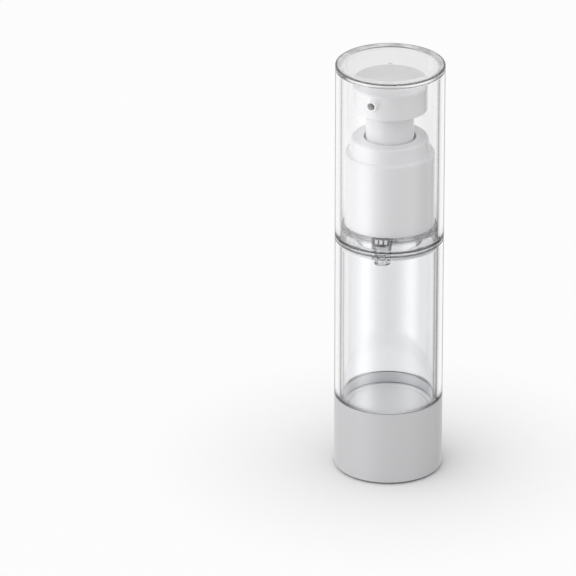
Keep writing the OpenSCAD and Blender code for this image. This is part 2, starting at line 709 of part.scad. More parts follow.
module pump_piston() {
    hub_ir = shank_d / 2 + run_fit;
    hub_r = hub_ir + piston_wall;
    lip_r = chamber_r - run_fit;
    sleeve_r1 = lip_r - piston_wall / 4;
    sleeve_r0 = sleeve_r1 - piston_wall;
    web = piston_wall;
    mid = (piston_z0 + piston_z1) / 2;
    low = piston_z0 + piston_wall;
    high = piston_z1 - piston_wall;
    color([0.90, 0.92, 0.94]) turned([
        [hub_ir, piston_z0], [hub_r, piston_z0], [hub_r, mid - web], [sleeve_r0, mid - web],
        [lip_r - piston_wall / 2, low], [lip_r, low], [lip_r, low + piston_wall],
        [sleeve_r1, low + 2 * piston_wall], [sleeve_r1, high - 2 * piston_wall],
        [lip_r, high - piston_wall], [lip_r, high], [lip_r - piston_wall / 2, high],
        [sleeve_r0, mid + web], [hub_r, mid + web], [hub_r, piston_z1], [hub_ir, piston_z1]]);
}

module stem_foot() {
    shank_r = shank_d / 2;
    plug_z1 = stem_z0 + foot_plug_len;
    lead = foot_t / 4;
    bore_r = shank_bore_d / 2;
    color([0.92, 0.92, 0.92]) difference() {
        turned([
            [0, foot_z0], [foot_d / 2 - lead, foot_z0], [foot_d / 2, foot_z0 + lead],
            [foot_d / 2, foot_z1], [shank_r, foot_z1], [shank_r, stem_z0],
            [plug_r, stem_z0], [plug_r, plug_z1 - lead], [plug_r - lead / 2, plug_z1],
            [bore_r, plug_z1], [bore_r, foot_z1], [0, foot_z1]]);
        translate([-shank_r - cut, 0, port_z]) rotate([0, 90, 0])
            cylinder(r = port_d / 2, h = 2 * (shank_r + cut), $fn = turn_fn);
    }
}

module pump_stem() {
    channel_r = channel_d / 2;
    socket_r = plug_r + seat_fit;
    plug_z1 = stem_z0 + foot_plug_len + stop_gap;
    lead = stem_flange_t / 3;
    color([0.95, 0.95, 0.95]) turned([
        [socket_r, stem_z0], [stem_r, stem_z0], [stem_r, spring_z1 - lead],
        [stem_r + lead, spring_z1], [stem_flange_r, spring_z1], [stem_flange_r, stem_flange_z1],
        [stem_r, stem_flange_z1], [stem_r, stem_z1 - lead], [stem_r - lead, stem_z1],
        [channel_r, stem_z1], [channel_r, plug_z1 + lead], [socket_r, plug_z1]]);
}

module actuator_head() {
    wall_ir = head_r - head_wall;
    block_r = nozzle_r - nozzle_step + duct_wall;
    block_z0 = nozzle_z - block_r;
    plug_y0 = head_r - nozzle_plug_len - stop_gap;
    color([0.96, 0.96, 0.97]) difference() {
        union() {
            turned(concat(
                [[0, head_inside_z1], [wall_ir, head_inside_z1], [wall_ir, head_z0]],
                arc([head_r - head_foot_edge, head_z0 + head_foot_edge], head_foot_edge, -90, 0),
                arc([head_r - head_edge, head_z1 - head_edge], head_edge, 0, 90),
                [[0, head_z1]]));
            tube(skirt_ir, skirt_r, skirt_z0, head_z1 - head_top_t / 2);
            rod(socket_r, socket_z0, head_z1 - head_top_t / 2);
            translate([-block_r, -(wall_ir + head_wall / 2), block_z0])
                cube([2 * block_r, wall_ir + head_wall / 2, head_inside_z1 - block_z0 + head_top_t / 2]);
            for (i = [1:head_rib_count - 1])
                rotate([0, 0, i * 360 / head_rib_count - 90])
                    translate([socket_r - socket_wall / 2, -head_rib_t / 2, head_inside_z1 - head_rib_h])
                        cube([wall_ir - socket_r + socket_wall / 2 + head_wall / 2, head_rib_t,
                            head_rib_h + head_top_t / 2]);
        }
        rod(stem_r + run_fit, socket_z0 - cut, stem_z1 + stop_gap);
        rod(channel_d / 2, stem_z1, nozzle_z + duct_r);
        nozzle_rod(duct_r, 0, head_r);
        nozzle_rod(nozzle_r - nozzle_step + seat_fit, plug_y0, head_r + cut);
        nozzle_rod(nozzle_r + seat_fit, head_r - nozzle_flat, head_r + cut);
    }
}

module nozzle_insert() {
    tip = head_r + nozzle_reach;
    seat = head_r - nozzle_flat;
    plug_end = head_r - nozzle_plug_len;
    plug_r1 = nozzle_r - nozzle_step;
    mouth_r = mouth_d / 2;
    lip = (nozzle_r - mouth_r) / 2;
    color([0.97, 0.97, 0.97]) translate([0, 0, nozzle_z]) rotate([90, 0, 0]) turned(concat(
        [[orifice_d / 2, plug_end], [plug_r1, plug_end], [plug_r1, seat], [nozzle_r, seat]],
        arc([nozzle_r - lip, tip - lip], lip, 0, 180),
        [[mouth_r, tip - mouth_depth], [orifice_d / 2, tip - mouth_depth]]));
}

module overcap() {
    rim = cap_wall / 6;
    inside_z1 = cap_z1 - cap_top_t;
    gate_r = gate_d / 2;
    color([0.88, 0.89, 0.91, 0.35]) turned(concat(
        [[cap_ir + rim, flange_z1], [body_r - rim, flange_z1], [body_r, flange_z1 + rim]],
        arc([body_r - cap_edge, cap_z1 - cap_edge], cap_edge, 0, 90),
        [[gate_r, cap_z1], [gate_r - gate_h, cap_z1 - gate_h], [0, cap_z1 - gate_h],
        [0, inside_z1]],
        arc([cap_ir - cap_corner, inside_z1 - cap_corner], cap_corner, 90, 0),
        [[cap_ir, flange_z1 + rim]]));
}

base_cup();
follower_piston();
inner_bottle();
outer_sleeve();
shoulder_ring();
neck_gasket();
pump_housing();
inlet_ball();
stem_guide();
snap_fitment();
collar_shell();
return_spring();
pump_piston();
stem_foot();
pump_stem();
actuator_head();
nozzle_insert();
overcap();
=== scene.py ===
# %% [markdown]
# An airless pump bottle for a serum: a clear bottle in a clear outer tube, a clear overcap, a white
# push pump and a satin base cup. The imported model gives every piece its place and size. This script
# gives the pieces their finished surfaces, and it never moves or resizes a CAD part. The frame comes
# first, because all the sizes below are read from it.

# %% Load the frame
import json
import math

import bpy
import numpy as np
from mathutils import Matrix, Vector


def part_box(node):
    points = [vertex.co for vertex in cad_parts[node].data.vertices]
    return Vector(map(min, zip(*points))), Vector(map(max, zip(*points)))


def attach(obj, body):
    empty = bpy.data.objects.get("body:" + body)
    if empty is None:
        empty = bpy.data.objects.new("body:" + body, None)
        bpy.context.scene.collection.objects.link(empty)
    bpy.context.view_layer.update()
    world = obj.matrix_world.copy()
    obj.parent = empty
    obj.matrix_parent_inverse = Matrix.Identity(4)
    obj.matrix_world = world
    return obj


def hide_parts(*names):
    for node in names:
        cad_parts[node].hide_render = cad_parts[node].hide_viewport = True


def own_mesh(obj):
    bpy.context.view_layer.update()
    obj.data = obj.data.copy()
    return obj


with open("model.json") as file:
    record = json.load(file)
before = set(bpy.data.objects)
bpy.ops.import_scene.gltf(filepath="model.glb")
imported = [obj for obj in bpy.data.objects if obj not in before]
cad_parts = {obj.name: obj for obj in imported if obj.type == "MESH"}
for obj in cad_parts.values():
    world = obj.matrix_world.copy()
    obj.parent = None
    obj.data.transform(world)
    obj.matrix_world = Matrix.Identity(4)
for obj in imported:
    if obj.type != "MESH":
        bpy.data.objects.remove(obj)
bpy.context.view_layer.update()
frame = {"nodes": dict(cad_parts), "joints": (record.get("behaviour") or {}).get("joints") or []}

MM = 0.001

# %% [markdown]
# Nearly every piece of a round bottle is turned about one axis, so two radii and two heights say
# where a wall is. They could be typed in again, but then the looks would drift from the model when a
# size changes. Here a small function cuts a CAD node with a level plane and reads the radii there.

# %% Read sizes from the model
def foot(node):
    """Lowest height of a CAD node."""
    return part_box(node)[0].z


def top(node):
    """Highest height of a CAD node."""
    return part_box(node)[1].z


def walls(node, z):
    """Smallest and largest radius at which the surface of a node crosses the level z. Each edge of
    the mesh that passes through the level meets it at a share of its length, and the radius there
    is the distance from the Z axis."""
    mesh = frame["nodes"][node].data
    points = np.empty(len(mesh.vertices) * 3)
    mesh.vertices.foreach_get("co", points)
    points = points.reshape(-1, 3)
    edges = np.empty(len(mesh.edges) * 2, int)
    mesh.edges.foreach_get("vertices", edges)
    a, b = points[edges.reshape(-1, 2)].transpose(1, 0, 2)
    crossing = (a[:, 2] - z) * (b[:, 2] - z) < 0
    a, b = a[crossing], b[crossing]
    share = ((z - a[:, 2]) / (b[:, 2] - a[:, 2]))[:, None]
    radius = np.hypot(*(a + share * (b - a))[:, :2].T)
    return radius.min(), radius.max()


body_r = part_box("base_cup")[1].x
cap_z0, cap_z1 = foot("overcap"), top("overcap")
base_z1 = top("base_cup")
cap_ir, cap_r = walls("overcap", (cap_z0 + cap_z1) / 2)
tube_ir, tube_r = walls("outer_sleeve", (base_z1 + cap_z0) / 2)
bottle_ir, bottle_r = walls("inner_bottle", (base_z1 + cap_z0) / 2)
print("radii in mm:", [round(r / MM, 2) for r in (body_r, cap_ir, tube_ir, bottle_r, bottle_ir)])

# %% [markdown]
# A moulded edge is never sharp, and a clear one shows it: the highlight that runs round the top of
# the cap is the reflection in a rounded corner. So an outline is written as its few corners, each
# with the radius of its rounding, and the arcs are worked out. Two more points close to each arc keep
# the smooth shading of the arc from spreading over the flat faces beside it.

# %% Round the corners of an outline
HOLD = 0.03 * MM
SMALL_BEND = 0.2 * MM
COARSE_STEP, FINE_STEP = math.radians(22), math.radians(11)


def rounded(corners, closed=True):
    """The corners are rows of radius, height and rounding. At each one the arc starts and ends at
    rounding times the tangent of half the turn away from the corner, and its points lie at even
    angles round the centre of the arc."""
    corners = np.array(corners, float)
    places, bends = corners[:, :2], corners[:, 2]
    outline = []
    for i, (place, bend) in enumerate(zip(places, bends)):
        if not closed and i in (0, len(places) - 1):
            outline.append(place[None])
            continue
        arriving = place - places[i - 1]
        leaving = places[(i + 1) % len(places)] - place
        arriving, leaving = arriving / np.hypot(*arriving), leaving / np.hypot(*leaving)
        turn = math.atan2(arriving[0] * leaving[1] - arriving[1] * leaving[0], arriving @ leaving)
        inset = bend * math.tan(abs(turn) / 2)
        side = np.sign(turn) * np.array([-arriving[1], arriving[0]])
        centre = place - inset * arriving + bend * side
        steps = max(3, math.ceil(abs(turn) / (FINE_STEP if bend > SMALL_BEND else COARSE_STEP)))
        along = np.linspace(0, turn, steps + 1)[:, None]
        arc = centre - bend * (np.cos(along) * side - np.sin(along) * np.sign(turn) * arriving)
        outline += [(place - (inset + HOLD) * arriving)[None], arc,
                    (place + (inset + HOLD) * leaving)[None]]
    return np.concatenate(outline)


square = [[1, 0, 0.2], [2, 0, 0.2], [2, 1, 0.2], [1, 1, 0.2]]
print("a rounded square has", len(rounded(square)), "points")

# %% [markdown]
# The outline is carried round the axis. Blender's Screw modifier could do that, but a grid of numpy
# points says plainly which face looks outwards, and it closes the pole of a flat top with one point.
# Faces go first round the axis and then along the outline, which turns their normals away from the
# material when the outline runs counter-clockwise.

# %% Turn an outline into a closed surface
ROUND, BUSH_ROUND, WELL_ROUND, ROD_ROUND = 256, 128, 96, 64
ON_AXIS = 1e-9


def as_piece(name, points, faces):
    """A mesh object at the origin, with smooth shading."""
    mesh = bpy.data.meshes.new(name)
    mesh.from_pydata(points.tolist(), [], faces)
    mesh.update()
    mesh.shade_smooth()
    piece = bpy.data.objects.new(name, mesh)
    bpy.context.scene.collection.objects.link(piece)
    return piece


def lathe(name, outline, segments=ROUND, place=None):
    """Each point of the outline at radius r and height z becomes a ring of points r cos a, r sin a,
    z at even angles a. A point on the axis stays one point. place moves the result."""
    outline = np.array(outline, float)
    on_axis = outline[:, 0] < ON_AXIS
    closed = not on_axis.any()
    r, z = outline.T
    area = np.sum(r * np.roll(z, -1) - np.roll(r, -1) * z)
    if area < 0:
        outline, on_axis = outline[::-1], on_axis[::-1]
        r, z = outline.T
    angle = np.linspace(0, 2 * math.pi, segments, endpoint=False)
    counts = np.where(on_axis, 1, segments)
    starts = np.concatenate([[0], np.cumsum(counts)[:-1]])
    rings = [np.column_stack([r_ * np.cos(a), r_ * np.sin(a), np.full(len(a), z_)])
             for r_, z_, a in zip(r, z, [angle[:c] for c in counts])]
    points = np.concatenate(rings)
    j = np.arange(segments)
    following = (j + 1) % segments
    faces = []
    for i in range(len(outline) - (not closed)):
        k = (i + 1) % len(outline)
        if on_axis[i]:
            quads = [np.full(segments, starts[i]), starts[k] + following, starts[k] + j]
        elif on_axis[k]:
            quads = [starts[i] + j, starts[i] + following, np.full(segments, starts[k])]
        else:
            quads = [starts[i] + j, starts[i] + following, starts[k] + following, starts[k] + j]
        faces += np.column_stack(quads).tolist()
    if place is not None:
        points = points @ np.array(place.to_3x3()).T + np.array(place.translation)
    return as_piece(name, points, faces)


def block(name, low, high, place=None):
    """A box between two corners, with its faces outwards. place moves the result."""
    corners = np.array([[x, y, z] for z in (low[2], high[2]) for y in (low[1], high[1])
                        for x in (low[0], high[0])], float)
    if place is not None:
        corners = corners @ np.array(place.to_3x3()).T + np.array(place.translation)
    faces = [[0, 2, 3, 1], [4, 5, 7, 6], [0, 1, 5, 4], [2, 6, 7, 3], [0, 4, 6, 2], [1, 3, 7, 5]]
    return as_piece(name, corners, faces)


# %% [markdown]
# A few pieces aren't wholly round: the ring has a peg, the button has ribs and a hole for its nozzle.
# Such shapes are joined and cut with the exact Boolean modifier, which is applied at once, so that
# the piece ends as one closed surface. The edges that the cuts leave are marked sharp by their angle.
# Every tool runs past what it cuts by one named overrun.

# %% Join and cut surfaces
CREASE = math.radians(32)
OVERRUN = MM
WALL_SLACK, SQUARE_ON = 0.005 * MM, 0.999


def worked(piece, *steps):
    """Applies each step, a Boolean operation and its tools, and removes the tools."""
    for operation, tools in steps:
        for tool in tools:
            boolean = piece.modifiers.new(operation.lower(), "BOOLEAN")
            boolean.operation = operation
            boolean.solver = "EXACT"
            boolean.object = tool
            bpy.context.view_layer.update()
            graph = bpy.context.evaluated_depsgraph_get()
            result = bpy.data.meshes.new_from_object(piece.evaluated_get(graph))
            piece.modifiers.clear()
            piece.data = result
            bpy.data.objects.remove(tool)
    piece.data.shade_smooth()
    piece.data.set_sharp_from_angle(angle=CREASE)


def true_round(piece, radius):
    """A cut leaves long faces beside it, and their averaged normals show as a faint patch. Every
    corner on the cylinder of this radius, in a face that looks away from the axis, gets the normal
    of the cylinder there: x and y over the radius, and 0 for z."""
    mesh = piece.data
    counts = len(mesh.vertices), len(mesh.loops), len(mesh.polygons)
    points, normals, faces = (np.empty(count * 3) for count in counts)
    mesh.vertices.foreach_get("co", points)
    mesh.corner_normals.foreach_get("vector", normals)
    mesh.polygons.foreach_get("normal", faces)
    corner, size = (np.empty(count, int) for count in counts[1:])
    mesh.loops.foreach_get("vertex_index", corner)
    mesh.polygons.foreach_get("loop_total", size)
    place = points.reshape(-1, 3)[corner]
    reach = np.hypot(place[:, 0], place[:, 1])
    outward = place * (1, 1, 0) / reach.clip(ON_AXIS)[:, None]
    looks = np.sum(np.repeat(faces.reshape(-1, 3), size, axis=0) * outward, axis=1)
    on_wall = (abs(reach - radius) < WALL_SLACK) & (looks > SQUARE_ON)
    mesh.normals_split_custom_set(np.where(on_wall[:, None], outward, normals.reshape(-1, 3)))
    print("corners with the cylinder's own normal:", int(on_wall.sum()))


def dress(piece, body, slot, material, *nodes):
    """Rides the piece on its body and stands it in for its CAD nodes. The slot is not used."""
    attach(piece, body)
    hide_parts(*nodes)
    piece.data.materials.clear()
    piece.data.materials.append(material)
    print(piece.name, "faces:", len(piece.data.polygons))


# %% [markdown]
# Materials are written as sums. A Shading value wraps a socket, and adding or multiplying two of
# them adds the Math node that does it, so a finish reads like a formula. Colours go through a Mix
# node, because a Math node would turn them grey.

# %% Write shader maths as expressions
class Shading:
    """A socket of a node tree that can be added, multiplied and compared like a number."""

    def __init__(self, tree, socket):
        self.tree, self.socket = tree, socket

    def _maths(self, operation, first, second=0.0):
        """A Math node over two values."""
        return Recipe.node(self.tree, "ShaderNodeMath", {"operation": operation}, first, second)

    def __add__(self, other):
        return self._maths("ADD", self, other)

    def __sub__(self, other):
        return self._maths("SUBTRACT", self, other)

    def __rsub__(self, other):
        return self._maths("SUBTRACT", other, self)

    def __mul__(self, other):
        return self._maths("MULTIPLY", self, other)

    def __pow__(self, other):
        return self._maths("POWER", self, other)

    def __gt__(self, other):
        return self._maths("GREATER_THAN", self, other)

    __radd__ = __add__
    __rmul__ = __mul__

    def near(self, middle, half, steep=3.0):
        """1 about the middle and 0 from half a width away: 1 less the square of the distance over
        the half width, times how steep its sides are, kept between 0 and 1."""
        apart = (self - middle) * (1 / half)
        return ((1 - apart * apart) * steep).held()

    def held(self):
        """The value, kept between 0 and 1."""
        return Recipe.node(self.tree, "ShaderNodeClamp", {}, self, 0.0, 1.0)


class Recipe:
    """A material's node tree: a Principled shader, and over it layers of painted light and shade."""

    def __init__(self, name):
        self.material = bpy.data.materials.new(name)
        self.material.use_nodes = True
        self.tree = self.material.node_tree
        self.tree.nodes.clear()
        self.output = self.tree.nodes.new("ShaderNodeOutputMaterial")

    @staticmethod
    def node(tree, kind, settings, *values, out=0, **named):
        """A node of this kind: its settings first, then the values or links of its sockets."""
        made = tree.nodes.new(kind)
        for key, value in settings.items():
            setattr(made, key, value)
        inputs = [(made.inputs[i], v) for i, v in enumerate(values)]
        inputs += [(made.inputs[key.replace("_", " ")], v) for key, v in named.items()]
        for socket, value in inputs:
            if isinstance(value, Shading):
                tree.links.new(value.socket, socket)
            elif value is not None:
                socket.default_value = value
        return Shading(tree, made.outputs[out])

    def add(self, kind, settings=None, *values, out=0, **named):
        """A node in this material's tree."""
        return Recipe.node(self.tree, kind, settings or {}, *values, out=out, **named)

    def place(self, stretch=(1, 1, 1)):
        """Object coordinates, in metres, stretched along the axes."""
        spot = self.add("ShaderNodeTexCoord", out="Object")
        return self.add("ShaderNodeMapping", {}, spot, Scale=stretch)

    def height(self):
        """Height of the point on the piece, in metres."""
        return self.add("ShaderNodeSeparateXYZ", {}, self.place(), out="Z")

    def reach(self):
        """Distance of the point from the axis of the bottle, in metres."""
        flat = self.add("ShaderNodeVectorMath", {"operation": "MULTIPLY"}, self.place(), (1, 1, 0))
        return self.add("ShaderNodeVectorMath", {"operation": "LENGTH"}, flat, out="Value")

    def grain(self, scale, detail=2.0, stretch=(1, 1, 1)):
        """Noise from 0 to 1 with features of about 1 over scale metres."""
        return self.add("ShaderNodeTexNoise", {}, Vector=self.place(stretch), Scale=scale, Detail=detail)

    def blend(self, share, first, second):
        """A colour between two others."""
        made = self.tree.nodes.new("ShaderNodeMix")
        made.data_type = "RGBA"
        self.tree.links.new(share.socket, made.inputs["Factor"])
        made.inputs[6].default_value = (*first, 1)
        made.inputs[7].default_value = (*second, 1)
        return Shading(self.tree, made.outputs[2])

    def bump(self, height, depth):
        """A normal from a height between 0 and 1, times a depth in metres."""
        return self.add("ShaderNodeBump", {}, Height=height, Distance=depth, Strength=1.0)

    def finish(self, over=(), **sockets):
        """Feeds the Principled shader, lays each layer of painted light or shade over it by its own
        share, and hands over the material."""
        shader = self.add("ShaderNodeBsdfPrincipled", {}, **sockets)
        for share, colour, roughness in over:
            painted_layer = self.add("ShaderNodeBsdfPrincipled", {}, Base_Color=(*colour, 1), Roughness=roughness)
            shader = self.add("ShaderNodeMixShader", {}, share, shader, painted_layer)
        self.tree.links.new(shader.socket, self.output.inputs["Surface"])
        return self.material

    def dim_inside(self, density):
        """Light that runs 1 / density metres through the material fades to about a third."""
        fading = self.add("ShaderNodeVolumeAbsorption", {}, Color=(0, 0, 0, 1), Density=density)
        self.tree.links.new(fading.socket, self.output.inputs["Volume"])


# %% [markdown]
# The cap, the outer tube and the ring are clear moulded plastic, much like glass with a higher
# index, 1.53. A Transparent shader with some gloss would be quicker, but it doesn't bend what is
# seen through it, and the dark lines at the edges of a clear tube come from that bending. So the
# plastic is a real dielectric with both faces of every wall. Moulding leaves faint waves that run
# along the draw and a breath of haze, and both are there as bump and roughness. Where a face is seen
# edge on, the colour is darkened by the Layer Weight, a painted shade for the light that runs far
# through the plastic there. Three things are too fine to come out of the bending alone, so they are
# laid over it as layers of painted light and shade. Where two pieces meet, a painted dark line
# stands for the shade of the hairline gap between them, which turns the light back, more so where
# the wall turns away. A painted dark line also runs along the very edge of a clear wall, by the
# Layer Weight. And the top of a clear wall gets a painted glow for the light that enters the wall
# anywhere and is led up inside it: a pale, cloudy ring on the cap, with a painted dark outline at
# its rounded corner.

# %% Clear plastic
# Colours of the painted layers: a dark and a mid grey of painted shade, and a white of painted glow.
# PALE_GREY is the nozzle lip's own white, and painted light on the ring.
PAINTED_SHADE_DARK, PAINTED_SHADE_GREY = (0.06, 0.06, 0.065), (0.2, 0.2, 0.21)
PAINTED_GLOW_WHITE, PALE_GREY = (0.93, 0.93, 0.935), (0.95, 0.95, 0.95)
CLEAR_INDEX, WHITE_INDEX = 1.53, 1.49
HAIRLINE = 0.16 * MM
OUTLINE_DROP = 0.3 * MM
DRAW_WAVES = 0.006 * MM


def clear_plastic(name, tint, haze, density, painted_gap_lines=(), glow=None, painted_light=None):
    """density dims the light inside. Each painted gap line, a painted shade, is a middle height, a half
    height and two shares: where the wall faces the eye, and where it turns away. The painted glow
    is the height above which the edge is painted pale, the smallest and largest radius of that ring
    and the radius of its painted dark outline. The last argument is a function that gives more
    layers of painted light and shade."""
    recipe = Recipe(name)
    recipe.dim_inside(density)
    waves = recipe.grain(160.0, 1.0, (1, 1, 0.12))
    cloud = recipe.grain(45.0, 3.0)
    facing = recipe.add("ShaderNodeLayerWeight", {}, 0.5, out="Facing")
    # Painted shade: the colour darkens where a face is seen edge on, and a painted dark layer lies along
    # the very edge.
    painted_edge_shade = ((facing - 0.8) * 8.0).held()
    painted_layers = [(((facing - 0.82) * 20.0).held() * 0.65, PAINTED_SHADE_GREY, 0.4)]
    # Painted dark lines, a painted shade, at the gaps between pieces, stronger where the wall turns away.
    aside = ((facing - 0.1) * 3.0).held()
    painted_layers += [(recipe.height().near(z, half) * (aside * (side - front) + front), PAINTED_SHADE_DARK, 0.4)
              for z, half, front, side in painted_gap_lines]
    # A painted glow on the top edge, clouded, with a painted dark outline at its rounded corner.
    if glow:
        low, inner, outer, outline = glow
        ring = recipe.reach().near((inner + outer) / 2, (outer - inner) / 2) * (recipe.height() > low)
        clouds = ((recipe.grain(260.0, 2.0) - 0.32) * 3.0).held()
        painted_layers.append((ring * (clouds * 0.4 + 0.5), PAINTED_GLOW_WHITE, 0.2))
        corner = (recipe.reach() > outline) * (recipe.height() > low - OUTLINE_DROP)
        painted_layers.append((corner * 0.7, PAINTED_SHADE_DARK, 0.3))
    if painted_light:
        painted_layers += painted_light(recipe)
    return recipe.finish(
        over=painted_layers,
        Base_Color=recipe.blend(painted_edge_shade, tint, tuple(c * 0.35 for c in tint)),
        Roughness=cloud * haze,
        IOR=CLEAR_INDEX,
        Transmission_Weight=1.0,
        Normal=recipe.bump(waves, DRAW_WAVES),
    )


# The cap's painted glow ring with its painted dark outline, and painted dark lines, a painted shade, where
# the cap meets the ring and at the top and the foot of the tube.
glow_z0, glow_r0, glow_r1 = cap_z1 - 0.02 * MM, cap_ir - 1.2 * MM, cap_r + 0.2 * MM
outline_r = cap_r - 0.55 * MM
painted_foot_shade_z, painted_foot_shade_half = base_z1 + 0.4 * MM, 0.6 * MM
cap_clear = clear_plastic("clear_cap", (0.985, 0.985, 0.99), 0.006, 3.0,
                          painted_gap_lines=[(cap_z0, HAIRLINE, 0.8, 0.8)],
                          glow=(glow_z0, glow_r0, glow_r1, outline_r))
tube_clear = clear_plastic("clear_tube", (0.982, 0.983, 0.988), 0.006, 5.0,
                           painted_gap_lines=[(top("outer_sleeve"), HAIRLINE, 0.75, 0.75),
                                 (painted_foot_shade_z, painted_foot_shade_half, 0.0, 0.7)])

# %% [markdown]
# The pump is moulded from white polypropylene. A polished mould gives the button and the collar
# their gloss, which is softer than a painted one: the surface rolls a little, like the peel of an
# orange at half a millimetre. The inner pump parts come from plainer moulds and are rougher. One
# function makes them all from a colour, a roughness and the depth of the peel. It makes the base's
# grey as well, and paints light and shade on it: a paler inside, a painted light, and a dark foot,
# a painted shade.

# %% White mouldings
def moulding(name, shade, roughness, peel, fine=2200.0, painted_light_and_shade=None):
    """peel is a depth in metres, and fine says how many of its bumps lie in one. The last argument is,
    for a piece with painted light and shade, the height below which it is painted dark, a painted
    shade for its own gap, and the radius inside which it is painted paler, a painted light, with
    that paler colour."""
    recipe = Recipe(name)
    flow = recipe.grain(70.0, 2.0, (1, 1, 0.4))
    skin = recipe.grain(fine, 2.0)
    lighter = tuple(min(1, c * 1.02) for c in shade)
    darker = tuple(c * 0.985 for c in shade)
    painted_layers = []
    if painted_light_and_shade:
        # Painted light on the inside, and painted shade below the foot's step.
        gap, inside_r, painted_inside_light = painted_light_and_shade
        painted_layers = [((inside_r - recipe.reach()) > 0, painted_inside_light, 0.4),
                 ((gap - recipe.height() > 0) * 0.8, PAINTED_SHADE_DARK, 0.6)]
    return recipe.finish(
        over=painted_layers,
        Base_Color=recipe.blend(flow, darker, lighter),
        Roughness=(flow * 0.06 + roughness - 0.03).held(),
        IOR=WHITE_INDEX,
        Normal=recipe.bump(skin, peel),
    )


button_gloss = moulding("button_white", (0.87, 0.87, 0.875), 0.16, 0.0010 * MM)
collar_gloss = moulding("collar_white", (0.87, 0.87, 0.875), 0.14, 0.0010 * MM)
pump_plastic = moulding("pump_white", (0.84, 0.84, 0.84), 0.42, 0.003 * MM)
seal_plastic = moulding("seal_white", (0.78, 0.80, 0.82), 0.35, 0.002 * MM)
follower_plastic = moulding("follower_white", (0.90, 0.90, 0.905), 0.45, 0.004 * MM)

# %% [markdown]
# The gasket is a disc of closed-cell foam with small pits. The spring is drawn steel wire with fine
# lines along it, and the valve ball is polished steel with faint scuffs. They are hidden in the
# closed bottle, but the pump is taken apart on the same bench, so they get their own finish.

# %% Foam and steel
def foam(name):
    """Closed cells: a pit where the distance to the nearest cell's middle is small."""
    recipe = Recipe(name)
    pits = recipe.add("ShaderNodeTexVoronoi", {}, Vector=recipe.place(), Scale=4500.0)
    return recipe.finish(
        # The colour darkens in the pits, a painted shade.
        Base_Color=recipe.blend(pits, (0.70, 0.70, 0.67), (0.84, 0.84, 0.82)),
        Roughness=(pits * 0.2 + 0.7).held(),
        Normal=recipe.bump(pits, 0.03 * MM),
    )


def steel(name, shade, roughness, stretch):
    """Bare metal with scuffs, which stretch draws out along the axes."""
    recipe = Recipe(name)
    scuffs = recipe.grain(3000.0, 3.0, stretch)
    return recipe.finish(
        Base_Color=recipe.blend(scuffs, tuple(c * 0.9 for c in shade), shade),
        Metallic=1.0,
        Roughness=(scuffs * 0.15 + roughness).held(),
        Normal=recipe.bump(scuffs, 0.001 * MM),
    )


gasket_foam = foam("gasket_foam")
spring_steel = steel("spring_wire", (0.56, 0.57, 0.59), 0.22, (1, 1, 4))
valve_steel = steel("ball_steel", (0.62, 0.62, 0.65), 0.06, (1, 1, 1))

# %% [markdown]
# The overcap is a straight cup, upside down. The sight of it is all in its edges: a small outer
# radius at the top, and softer ones inside and round its open rim. The gate, where the plastic was
# let into the mould, leaves a small dimple in the middle of the top.

# %% Overcap
cap_top_t = 1.6 * MM
gate_r, gate_depth = 0.55 * MM, 0.1 * MM
AIR = 0.03 * MM
overcap = lathe("overcap_clear", rounded([
    [0, cap_z1 - gate_depth, 0],
    [gate_r * 0.7, cap_z1 - gate_depth, 0.06 * MM],
    [gate_r, cap_z1, 0.1 * MM],
    [cap_r, cap_z1, 0.35 * MM],
    [cap_r, cap_z0 + AIR, 0.5 * MM],
    [cap_ir, cap_z0 + AIR, 0.5 * MM],
    [cap_ir, cap_z1 - cap_top_t, 0.5 * MM],
    [0, cap_z1 - cap_top_t, 0],
], closed=False))
dress(overcap, "cap", "cap_clear", cap_clear, "overcap")

# %% [markdown]
# The outer tube shows from the base to the ring. Its lower end is stepped down to a spigot that
# sits inside the rim of the base, and both faces of the tube are plain and straight.

# %% Outer tube
tube_z0, tube_z1 = foot("outer_sleeve"), top("outer_sleeve")
plug_r = walls("outer_sleeve", (tube_z0 + base_z1) / 2)[1]
outer_tube = lathe("outer_tube_clear", rounded([
    [tube_ir, tube_z0, 0.08 * MM],
    [plug_r, tube_z0, 0.2 * MM],
    [plug_r, base_z1 + AIR, 0.05 * MM],
    [tube_r, base_z1 + AIR, 0.2 * MM],
    [tube_r, tube_z1 - AIR, 0.2 * MM],
    [tube_ir, tube_z1 - AIR, 0.08 * MM],
]))
dress(outer_tube, "bottle", "sleeve_clear", tube_clear, "outer_sleeve")

# %% [markdown]
# The inner bottle holds the product. It is blown and sized thin, with a snap bead near its foot, a
# flat shoulder and a neck whose bead catches the pump's closure. Under the shoulder hangs a blind
# well for the ring's index peg, so the surface is a turned shell with a small cup joined to it.

# %% Inner bottle
PEG_BEARING = math.radians(16.8)
bottle_z0, neck_z1 = foot("inner_bottle"), top("inner_bottle")
shoulder_t, shoulder_drop = 1.0 * MM, 0.5 * MM
bead_drop, bead_h, bead_land, bead_under = 3.2 * MM, 1.4 * MM, 0.32 * MM, 0.3 * MM
snap_low, snap_high, snap_depth = 2.4 * MM, 3.6 * MM, 0.15 * MM
shoulder_z1 = tube_z1 - shoulder_drop
shoulder_z0 = shoulder_z1 - shoulder_t
neck_ir, neck_r = walls("inner_bottle", (shoulder_z1 + neck_z1) / 2)
bead_z1 = neck_z1 - bead_drop
bead_z0 = bead_z1 - bead_h
bead_r = walls("inner_bottle", (bead_z0 + bead_z1) / 2 - bead_under)[1]
snap_z0, snap_z1 = bottle_z0 + snap_low, bottle_z0 + snap_high
peg_r, well_gap, well_wall, well_floor = 1.55 * MM, 0.09 * MM, 0.55 * MM, 0.5 * MM
well_ir, well_r = peg_r + well_gap, peg_r + well_gap + well_wall
peg_reach = bottle_r - well_r
peg_drop, peg_gap = 1.4 * MM, 0.9 * MM
peg_z0 = shoulder_z1 - peg_drop
